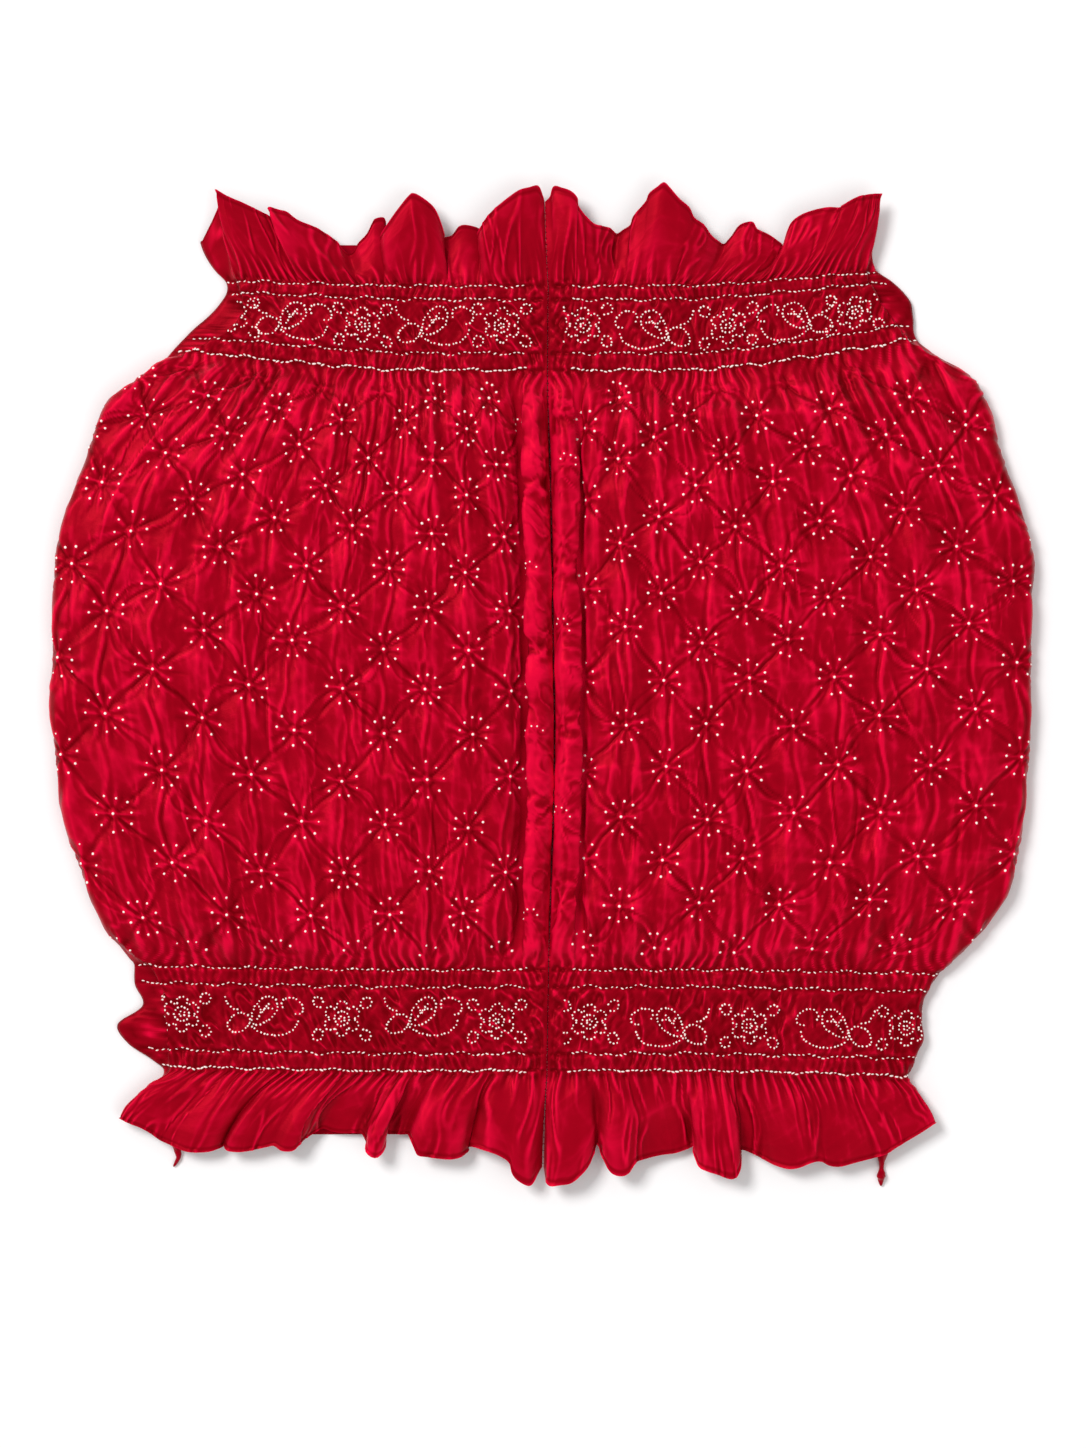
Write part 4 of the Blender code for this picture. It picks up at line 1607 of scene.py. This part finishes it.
        # Painted highlights on the roll's side that faces the lamp, and painted light in the crease beside
        # the right roll.
        painted_highlight_column = 3.2 if self.side is Side.LEFT else 1.5
        painted_edge_highlight = bump(columns - painted_highlight_column, 0.55)
        painted_crease_light = bump(columns - 5.2, 0.9) * (self.side is Side.RIGHT)
        # Lighter on the rolls: a painted highlight on their raised tops.
        tone_with_painted_light = 0.42 + 0.3 * dense_dye_and_gather_shade - (0.12 * on_roll + 0.3 * painted_edge_highlight + 0.3 * painted_crease_light) * body
        tone_with_painted_light = tone_with_painted_light + self.painted_pleat_shade(level)
        return np.clip(tone_with_painted_light + (smooth - height) / 0.75, 0.0, 1.0)

    def painted_pleat_shade(self, level: Grid) -> Grid:
        """Painted shade in the valleys of the frills' big pleats, and painted highlights on their crests.

        Args:
            level: Places up the cloth.

        Returns:
            The change of tone, below 0 for a painted highlight on a crest.
        """
        height = self.grid["base"][..., 2]
        wide = round(9.0 / self.front_step)
        padded = np.pad(height, ((0, 0), (wide, wide)), mode="edge")
        run = np.cumsum(np.pad(padded, ((0, 0), (1, 0))), axis=1)
        around = (run[:, 2 * wide + 1 :] - run[:, : -2 * wide - 1]) / (2 * wide + 1)
        in_frill = ease((np.maximum(LOW_LINES[3] - level, level - TOP_LINES[3]) - 2.0) / 14.0)
        return np.clip((around - height) * 0.13, -0.24, 0.26) * in_frill

    # Reading the sheet

    def spot(self, across: float, level: float, loom: bool = False) -> tuple[float, float]:
        """Where on the fine sheet a place of the cloth lies.

        Args:
            across: Millimetres from the seam, or the place across the loom.
            level: The level up the cloth.
            loom: Whether across is a place across the loom.

        Returns:
            The sheet's row and column, with their fractions.
        """
        row = float(np.interp(level, self.grid["levels"], np.arange(len(self.grid["levels"]))))
        keys = self.grid["loom" if loom else "across"][int(row)]
        return row, float(np.interp(across, keys, np.arange(len(keys))))

    @staticmethod
    def sample(values: Grid, row: Grid | float, column: Grid | float) -> Grid:
        """Reads a grid between its points.

        Args:
            values: The grid.
            row: Rows, with their fractions.
            column: Columns, with their fractions.

        Returns:
            The values there.
        """
        r = np.clip(np.asarray(row, float), 0, values.shape[0] - 1.001)
        c = np.clip(np.asarray(column, float), 0, values.shape[1] - 1.001)
        i, j = r.astype(int), c.astype(int)
        s, t = (r - i)[..., None], (c - j)[..., None]
        low = values[i, j] * (1 - t) + values[i, j + 1] * t
        high = values[i + 1, j] * (1 - t) + values[i + 1, j + 1] * t
        return low * (1 - s) + high * s

    # Meshes

    def cloth_piece(self, stretch: Stretch, silk: bpy.types.Material) -> bpy.types.Object:
        """Builds one stretch of the width as a sheet.

        Args:
            stretch: Which stretch.
            silk: The cloth's material.

        Returns:
            The sheet.
        """
        first = list(Stretch).index(stretch)
        start, end = self.grid["breaks"][first], self.grid["breaks"][first + 1]
        part = slice(start, end + 1)
        points = self.grid["cloth"][part]
        down, across = points.shape[0] - 1, points.shape[1] - 1
        shape = bmesh.new()
        bmesh.ops.create_grid(shape, x_segments=across, y_segments=down, size=0.5)
        if self.sign < 0:
            bmesh.ops.reverse_faces(shape, faces=shape.faces)
        mesh = bpy.data.meshes.new(f"{self.word}_{stretch.value}")
        shape.to_mesh(mesh)
        shape.free()
        flat = mesh_points(mesh)
        column = np.rint((flat[:, 0] + 0.5) * across).astype(int)
        row = np.rint((flat[:, 1] + 0.5) * down).astype(int)
        mesh.vertices.foreach_set("co", (points[row, column] * MM).ravel())
        # The tone with painted shade and painted highlights, for the silk's colour ramp.
        set_values(mesh, "painted_shade_tone", self.grid["depth"][part][row, column])
        corner = np.empty(len(mesh.loops), int)
        mesh.loops.foreach_get("vertex_index", corner)
        level = np.broadcast_to(self.grid["levels"][:, None], self.grid["across"].shape)[part]
        pattern = np.stack([self.grid["across"][part][row, column], level[row, column]], axis=-1)
        mesh.uv_layers.new(name="flat_cloth").data.foreach_set("uv", pattern[corner].ravel())
        mesh.shade_smooth()
        mesh.update()
        return set_out(mesh, silk)

    @staticmethod
    def dot_shape() -> bmesh.types.BMesh:
        """Makes one dot: a flat disc that faces up, with a ring round its tip.

        Returns:
            The disc.
        """
        shape = bmesh.new()
        bmesh.ops.create_circle(shape, cap_ends=True, cap_tris=True, segments=8, radius=DOT_TIP)
        edge = [e for e in shape.edges if e.is_boundary]
        grown = bmesh.ops.extrude_edge_only(shape, edges=edge)["geom"]
        rim = [g for g in grown if isinstance(g, bmesh.types.BMVert)]
        bmesh.ops.scale(shape, vec=(1 / DOT_TIP, 1 / DOT_TIP, 1), verts=rim)
        bmesh.ops.recalc_face_normals(shape, faces=shape.faces)
        if sum(f.normal.z for f in shape.faces) < 0:
            bmesh.ops.reverse_faces(shape, faces=shape.faces)
        return shape

    def dot_piece(self, name: str, dots: Sequence[Dot], bare: bpy.types.Material) -> bpy.types.Object:
        """Builds many tied dots as one mesh, each a small dome that lies on the cloth.

        Args:
            name: The piece's name.
            dots: The dots.
            bare: The undyed silk's material.

        Returns:
            The dots.
        """
        whole, flat, which = repeated(self.dot_shape(), name, len(dots), 4.0)
        x, y = flat[:, 0], flat[:, 1]
        out = np.hypot(x, y)
        places = np.array([self.spot(d.across, d.level) for d in dots])[which]
        sizes = np.array([(d.long, d.wide, d.turn, d.bare) for d in dots])[which]
        turn = sizes[:, 2]
        lie_x = (x * sizes[:, 0] * np.cos(turn) - y * sizes[:, 1] * np.sin(turn)) * self.sign
        lie_y = x * sizes[:, 0] * np.sin(turn) + y * sizes[:, 1] * np.cos(turn)
        step_c = self.sample(np.gradient(self.grid["cloth"], axis=1), places[:, 0], places[:, 1])
        step_r = self.sample(np.gradient(self.grid["cloth"], axis=0), places[:, 0], places[:, 1])
        size_c = np.linalg.norm(step_c, axis=-1, keepdims=True)
        along_c = step_c / size_c
        lean = (step_r * along_c).sum(axis=-1)
        size_r = np.linalg.norm(step_r - along_c * lean[:, None], axis=-1)
        rows = lie_y / size_r
        columns = (lie_x * self.sign - rows * lean) / size_c[:, 0]
        row, column = places[:, 0] + rows, places[:, 1] + columns
        lift = np.where(out < 0.1, 0.40, np.where(out < 0.8, 0.30, 0.04)) * np.minimum(sizes[:, 0], 1.0)
        spots = self.sample(self.grid["cloth"], row, column)
        spots = spots + self.sample(self.grid["facing"], row, column) * lift[:, None]
        whole.vertices.foreach_set("co", (spots * MM).ravel())
        set_values(whole, "bareness", np.where(out < 0.8, 1.0, 0.28) * sizes[:, 3])
        if self.sign < 0:
            turned = bmesh.new()
            turned.from_mesh(whole)
            bmesh.ops.reverse_faces(turned, faces=turned.faces)
            turned.to_mesh(whole)
            turned.free()
        whole.shade_smooth()
        whole.update()
        return set_out(whole, bare)


@dataclass(frozen=True)
class CentreSeam:
    """The sewing that joins the two loom widths: a row of small stitches over the seam."""

    pitch: float = 3.2
    hold: float = 0.9
    thick: float = 0.2

    def build(self, left: LoomWidth, right: LoomWidth, thread: bpy.types.Material) -> bpy.types.Object:
        """Builds the stitches, each from one width's edge to the other's.

        Args:
            left: The left width, laid.
            right: The right width, laid.
            thread: The thread's material.

        Returns:
            The stitches.
        """
        levels = np.arange(left.grid["levels"][0] + 3, left.grid["levels"][-1] - 3, self.pitch)
        ends = []
        for width in (left, right):
            near = width.grid["cloth"][:, :3]
            reach = np.linalg.norm(near[:, 1] - near[:, 0], axis=-1)
            rows = np.interp(levels, width.grid["levels"], np.arange(len(width.grid["levels"])))
            columns = self.hold / np.interp(rows, np.arange(len(reach)), reach)
            ends.append(width.sample(width.grid["cloth"], rows, np.minimum(columns, 1.9)))
        shape = bmesh.new()
        bmesh.ops.create_uvsphere(shape, u_segments=6, v_segments=5, radius=1.0)
        mesh, points, which = repeated(shape, "centre_seam_stitches", len(levels), 4.0)
        middle, half = ((ends[0] + ends[1]) / 2)[which], ((ends[1] - ends[0]) / 2)[which]
        lie = middle + half * points[:, :1] + np.array([0.0, 1.0, 0.0]) * points[:, 1:2] * self.thick
        lie[:, 2] += self.thick * (points[:, 2] + 0.4)
        mesh.vertices.foreach_set("co", (lie * MM).ravel())
        mesh.shade_smooth()
        mesh.update()
        return set_out(mesh, thread)


# The pattern


@dataclass(frozen=True)
class DotPattern:
    """The pattern of tied dots on one loom width."""

    width: LoomWidth
    ring: float = 7.5
    line_pitch: float = 2.4
    motif_pitch: float = 1.7
    plain_from: float = 10.5
    hidden_up_to: float = LOW_LINES[0] + 7.5

    def field_dots(self) -> list[Dot]:
        """The flowers of the field: a dot at the knot, and an uneven ring round it.

        The gathers above the lower band hide the lower dots of the lowest flowers.

        Returns:
            The dots.
        """
        pick, chances = np.random.default_rng(self.width.seed + 20), self.width.chances()
        dots = []
        for column, row, loom, level in self.width.flowers():
            small = column < 0
            if small and (row // 2 + (self.width.sign > 0)) % 2:
                continue
            across = self.from_loom(loom, level)
            if across is None:
                continue
            p, q = (column + row - 1) // 2, (column - row - 1) // 2
            own = chances[:4, p % CHANCE_TABLE, q % CHANCE_TABLE]
            if not small and level > self.hidden_up_to:
                dots.append(Dot(across, level, 0.68, 0.68, bare=1.0, pucker=0.2))
            count = int(ring_count(own[1]))
            for n in range(count):
                if small and n > 4:
                    break
                turn = 2 * math.pi * (n - own[2]) / count + pick.uniform(-0.07, 0.07)
                out = self.ring * (0.62 if small else 1.0) * pick.uniform(0.88, 1.14)
                fainter = small or pick.uniform() < 0.16
                size = pick.uniform(0.38, 0.48) if fainter else pick.uniform(0.5, 0.64)
                side, up = math.cos(turn) * out, math.sin(turn) * out
                spot = self.from_loom(loom + side, level + up)
                if spot is not None and level + up > self.hidden_up_to:
                    dots.append(Dot(spot, level + up, size * 1.08, size, turn, 0.6 if fainter else 1.0))
        return dots

    def from_loom(self, loom: float, level: float) -> float | None:
        """Millimetres from the seam of a place across the loom.

        Args:
            loom: The place across the loom.
            level: The level up the cloth.

        Returns:
            The distance, or None where it is round the fold.
        """
        width = self.width
        row, column = width.spot(loom, level, loom=True)
        if not 2.0 < column < 0.93 * (width.grid["across"].shape[1] - 1):
            return None
        return float(width.sample(width.grid["across"][..., None], row, column)[0])

    def line_dots(self, lines: Sequence[float]) -> list[Dot]:
        """The dotted lines of a border, as beads that touch here and there.

        Args:
            lines: Their levels.

        Returns:
            The dots.
        """
        pick = np.random.default_rng(self.width.seed + 31)
        dots = []
        for line in lines:
            row, _ = self.width.spot(0.0, line)
            end = float(self.width.grid["across"][int(row)][self.width.front_end()])
            across = self.plain_from + pick.uniform(0, 2)
            bold = line in (LOW_LINES[3], TOP_LINES[0])
            while across < end:
                wave = 0.55 * math.sin(across / 4.1 + line) + 0.4 * math.sin(across / 1.9 + 3 * line)
                level = line + (wave + pick.uniform(-0.2, 0.2))
                size = pick.uniform(0.38, 0.62) * (1.12 if bold else 0.88)
                turn, bare = pick.uniform(-0.6, 0.6), pick.uniform(0.5, 1.0)
                dots.append(Dot(across, level, size * 1.6, size * 0.72, turn, bare, 0.3))
                across += self.line_pitch * pick.uniform(0.82, 1.18) * (0.9 if bold else 1.0)
        return dots

    def motif_dots(self, motifs: Sequence[BorderMotif]) -> list[Dot]:
        """The figures of a border, drawn in rows of small dots.

        Args:
            motifs: The figures and their places.

        Returns:
            The dots.
        """
        pick = np.random.default_rng(self.width.seed + 47)
        dots = []
        row, _ = self.width.spot(0.0, motifs[0].level)
        last = float(self.width.grid["across"][int(row)][self.width.front_end() - 2])
        for motif in motifs:
            strokes = flower_strokes() if motif.kind is Motif.FLOWER else leaf_strokes()
            for stroke in strokes:
                for x, y in evenly(stroke, self.motif_pitch):
                    across = motif.across + x + pick.uniform(-0.25, 0.25)
                    level = motif.level + y + pick.uniform(-0.25, 0.25)
                    size = pick.uniform(0.34, 0.5)
                    if 7.0 < across < last:
                        turn, bare = pick.uniform(0, 3), pick.uniform(0.65, 1.0)
                        dots.append(Dot(across, level, size * 1.2, size, turn, bare, 0.16))
        return dots


Stroke = list[tuple[float, float]]


def loop(
    x: float,
    y: float,
    wide: float,
    tall: float,
    turn: float = 0.0,
    start: float = 0.0,
    end: float = 1.0,
    point: float = 0.0,
) -> Stroke:
    """A closed or open oval stroke, drawn out to a point at its far end if asked.

    Args:
        x: Its centre across.
        y: Its centre up.
        wide: Its half length along its own axis.
        tall: Its half breadth.
        turn: How far its axis is turned, in degrees.
        start: Where it starts, in turns.
        end: Where it ends, in turns.
        point: How much it narrows towards its far end.

    Returns:
        Points along the stroke.
    """
    lean_x, lean_y = math.cos(math.radians(turn)), math.sin(math.radians(turn))
    points = []
    for n in range(41):
        angle = 2 * math.pi * lerp(start, end, n / 40)
        u = wide * math.cos(angle)
        v = tall * math.sin(angle) * (1 - point * (0.5 + 0.5 * math.cos(angle)) ** 1.5)
        points.append((x + u * lean_x - v * lean_y, y + u * lean_y + v * lean_x))
    return points


def flower_strokes() -> list[Stroke]:
    """The border flower: two rings, six petals, and a curl at each corner.

    Returns:
        Its strokes, about its centre.
    """
    strokes = [loop(0, 0, 1.3, 1.2), loop(0, 0, 3.5, 3.3)]
    for n in range(6):
        out = math.radians(60 * n + 30)
        strokes.append(loop(6.3 * math.cos(out), 5.9 * math.sin(out), 2.3, 2.6, 60 * n + 30, -0.3, 0.3))
    for side in (-1, 1):
        for up in (-1, 1):
            turn = math.degrees(math.atan2(up, side))
            end = 0.34 if side * up > 0 else 0.44
            strokes.append(loop(11.2 * side, 7.6 * up, 2.7, 2.3, turn, -0.44, end))
    return strokes


def leaf_strokes() -> list[Stroke]:
    """The border leaf: a leaning leaf with its vein, an egg at its foot and a lobe with a long curl.

    Returns:
        Its strokes, about its centre, with the seam to the left.
    """
    return [
        loop(-0.3, 1.0, 7.8, 5.4, -50, point=0.35),
        [(3.0, -2.6), (0.4, 1.0), (-2.6, 4.6)],
        [(0.2, 0.6), (2.0, 3.0)],
        [(-1.0, 2.2), (-4.2, 2.4)],
        loop(11.4, -4.6, 5.6, 4.4, -30, -0.46, 0.46, point=0.2),
        loop(11.6, 8.2, 6.2, 6.8, 0, -0.24, -0.02),
        loop(-4.6, -2.4, 12.0, 7.6, 4, 0.5, 0.93),
        loop(-13.8, 3.8, 5.4, 3.5, 22, -0.12, 0.66),
    ]


def evenly(stroke: Stroke, pitch: float) -> Stroke:
    """Points at an even pitch along a stroke.

    Args:
        stroke: The stroke.
        pitch: The distance between points.

    Returns:
        The points, without a second one where a closed stroke meets itself.
    """
    line = np.array(stroke)
    run = np.concatenate([[0.0], np.cumsum(np.linalg.norm(np.diff(line, axis=0), axis=1))])
    count = max(2, round(run[-1] / pitch))
    closed = math.dist(stroke[0], stroke[-1]) < 0.3 * pitch
    places = np.linspace(0, run[-1], count + 1)[: count if closed else count + 1]
    return [(float(np.interp(s, run, line[:, 0])), float(np.interp(s, run, line[:, 1]))) for s in places]


class TwistRing(NamedTuple):
    """A place down a twisted corner, and how thick the twist is there."""

    x: float
    y: float
    z: float
    radius: float


LEFT_TWIST = (
    TwistRing(-170.5, -204.0, 1.6, 1.2),
    TwistRing(-172.6, -210.0, 2.4, 2.3),
    TwistRing(-173.6, -214.0, 2.3, 2.3),
    TwistRing(-172.4, -219.0, 1.7, 1.5),
    TwistRing(-172.2, -222.0, 1.4, 1.2),
    TwistRing(-174.4, -226.4, 1.0, 0.5),
)
RIGHT_TWIST = (
    TwistRing(158.6, -205.0, 2.0, 1.6),
    TwistRing(160.0, -211.0, 2.7, 2.6),
    TwistRing(160.1, -217.5, 2.7, 2.9),
    TwistRing(159.9, -223.1, 2.0, 1.8),
    TwistRing(159.8, -227.0, 1.5, 1.0),
    TwistRing(159.6, -230.6, 2.2, 2.1),
    TwistRing(159.5, -232.6, 1.7, 1.3),
    TwistRing(159.6, -235.4, 1.2, 0.5),
)


@dataclass(frozen=True)
class TwistedCorner:
    """A corner of the back layer, wrung into a short tail: a tube with two soft lobes that turn."""

    side: Side
    rings: Sequence[TwistRing]
    around: int = 20
    down: int = 56
    lobes: float = 0.2
    turns: float = 1.6

    def build(self, silk: bpy.types.Material) -> bpy.types.Object:
        """Builds the tail.

        Args:
            silk: Its material.

        Returns:
            The tail.
        """
        shape = bmesh.new()
        bmesh.ops.create_grid(shape, x_segments=self.around, y_segments=self.down, size=0.5)
        shape.verts.ensure_lookup_table()
        rings = np.array(self.rings)
        layer = shape.loops.layers.uv.new("flat_cloth")
        for face in shape.faces:
            for corner in face.loops:
                place = corner.vert.co
                corner[layer].uv = (place.x * 16.0 + self.side.value * 170, place.y * 32.0 - 215)
        places = np.array([(v.co.x + 0.5, v.co.y + 0.5) for v in shape.verts])
        spots = curve_weights(places[:, 1] * (len(rings) - 1), len(rings)) @ rings
        ends = np.sqrt(np.clip(1 - np.abs(2 * places[:, 1] - 1) ** 14, 0, 1))
        for vertex, (round_share, down_share), spot, end in zip(shape.verts, places, spots, ends):
            angle = 2 * math.pi * round_share
            twist = angle + 2 * math.pi * self.turns * down_share
            radius = spot[3] * float(end) * (1 - self.lobes + self.lobes * abs(math.cos(twist)) * 1.6)
            radius += 0.08 * math.sin(7 * twist) * float(end)
            vertex.co.x = (spot[0] + radius * math.cos(angle)) * MM
            vertex.co.y = spot[1] * MM
            vertex.co.z = max((spot[2] + radius * math.sin(angle)), 0.05) * MM
        bmesh.ops.remove_doubles(shape, verts=shape.verts, dist=1e-6)
        bmesh.ops.recalc_face_normals(shape, faces=shape.faces)
        mesh = bpy.data.meshes.new(f"{self.side.name.lower()}_twisted_corner")
        shape.to_mesh(mesh)
        shape.free()
        # A fixed middle tone, with no painted shade or highlight.
        set_values(mesh, "painted_shade_tone", np.full(len(mesh.vertices), 0.45))
        mesh.shade_smooth()
        return set_out(mesh, silk)


# The studio


@dataclass(frozen=True)
class Studio:
    """A plain pale floor, soft light from the upper left, and a camera high above the cloth."""

    mm_per_pixel: float = 0.47
    picture_height: int = 1448
    middle_y: float = -17.2
    lens: float = 100.0
    sensor: float = 36.0
    floor_size: float = 9.0
    plane: float = 10.0

    def build(self) -> None:
        """Builds the floor, the lights, the world and the camera."""
        scene = bpy.context.scene
        scene.view_settings.view_transform = "Standard"
        self.floor()
        self.lamp("window_key", (-2.7, 2.2, 4.6), 2.0, 215.0)
        self.lamp("soft_fill", (1.6, -1.4, 3.0), 2.4, 22.0)
        world = bpy.data.worlds.new("studio_white")
        world.use_nodes = True
        back = world.node_tree.nodes["Background"]
        back.inputs["Color"].default_value = linear("#FFFFFF")
        back.inputs["Strength"].default_value = 0.5
        scene.world = world
        away = self.mm_per_pixel * self.picture_height / self.sensor * self.lens * MM
        data = bpy.data.cameras.new("camera")
        data.lens, data.sensor_width = self.lens, self.sensor
        data.clip_start, data.clip_end = 0.1, 60.0
        camera = bpy.data.objects.new("camera", data)
        camera.location = (0.0, self.middle_y * MM, self.plane * MM + away)
        scene.collection.objects.link(camera)
        scene.camera = camera

    def floor(self) -> None:
        """Lays the floor."""
        shape = bmesh.new()
        bmesh.ops.create_grid(shape, x_segments=8, y_segments=8, size=self.floor_size / 2)
        mesh = bpy.data.meshes.new("pale_floor")
        shape.to_mesh(mesh)
        shape.free()
        material, output = empty_material("matt_white_board")
        shader = add_node(
            material.node_tree,
            "ShaderNodeBsdfPrincipled",
            inputs={"Base Color": linear("#FBFAFA"), "Roughness": 0.9, "Specular IOR Level": 0.2},
        )
        material.node_tree.links.new(shader.outputs["BSDF"], output.inputs["Surface"])
        floor = set_out(mesh, material)

    def lamp(self, name: str, place: tuple[float, float, float], size: float, power: float) -> None:
        """Hangs a soft square lamp that looks at the cloth.

        Args:
            name: Its name.
            place: Where it hangs, in metres.
            size: Its side, in metres.
            power: Its power in watts.
        """
        data = bpy.data.lights.new(name, "AREA")
        data.size, data.energy = size, power
        lamp = bpy.data.objects.new(name, data)
        lamp.location = place
        lamp.rotation_euler = (-lamp.location).to_track_quat("-Z", "Y").to_euler()
        bpy.context.scene.collection.objects.link(lamp)


def report(log: logging.Logger, piece: bpy.types.Object) -> None:
    """Logs a finished piece.

    Args:
        log: Where to.
        piece: The piece.
    """
    log.info("%s: %d triangles", piece.name, sum(len(p.vertices) - 2 for p in piece.data.polygons))


def main() -> None:
    """Builds the cloth and the studio."""
    logging.basicConfig(level=logging.INFO, format="%(message)s")
    log = logging.getLogger("bandhani")
    silk, bare, thread = CrinkledSilk().material(), UndyedSilk().material(), SewingThread().material()
    widths = (
        LoomWidth(Side.LEFT, TOP_LEFT_HEM, LOW_LEFT_HEM, TOP_LEFT_FLAP, LOW_LEFT_FLAP),
        LoomWidth(Side.RIGHT, TOP_RIGHT_HEM, LOW_RIGHT_HEM, TOP_RIGHT_FLAP, LOW_RIGHT_FLAP, 11, 32.7, -12.0),
    )
    for corner in (TwistedCorner(Side.LEFT, LEFT_TWIST), TwistedCorner(Side.RIGHT, RIGHT_TWIST)):
        tail = corner.build(silk)
        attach(tail, "root")
        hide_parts(f"{corner.side.name.lower()}_width")
        report(log, tail)
    for width in widths:
        width.lay()
        pattern = DotPattern(width)
        dots = {
            Stretch.LOW_BORDER: pattern.line_dots(LOW_LINES)
            + pattern.motif_dots(BORDER_MOTIFS[width.side, Stretch.LOW_BORDER]),
            Stretch.FIELD: pattern.field_dots(),
            Stretch.TOP_BORDER: pattern.line_dots(TOP_LINES)
            + pattern.motif_dots(BORDER_MOTIFS[width.side, Stretch.TOP_BORDER]),
        }
        width.raise_relief([dot for stretch in dots.values() for dot in stretch])
        for stretch in Stretch:
            cloth = width.cloth_piece(stretch, silk)
            spots = width.dot_piece(f"{width.word}_{stretch.value}_dots", dots[stretch], bare)
            for piece in (cloth, spots):
                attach(piece, "root")
                report(log, piece)
            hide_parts(f"{width.word}_width")
    stitches = CentreSeam().build(*widths, thread)
    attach(stitches, "root")
    report(log, stitches)
    Studio().build()


if __name__ == "__main__":
    main()
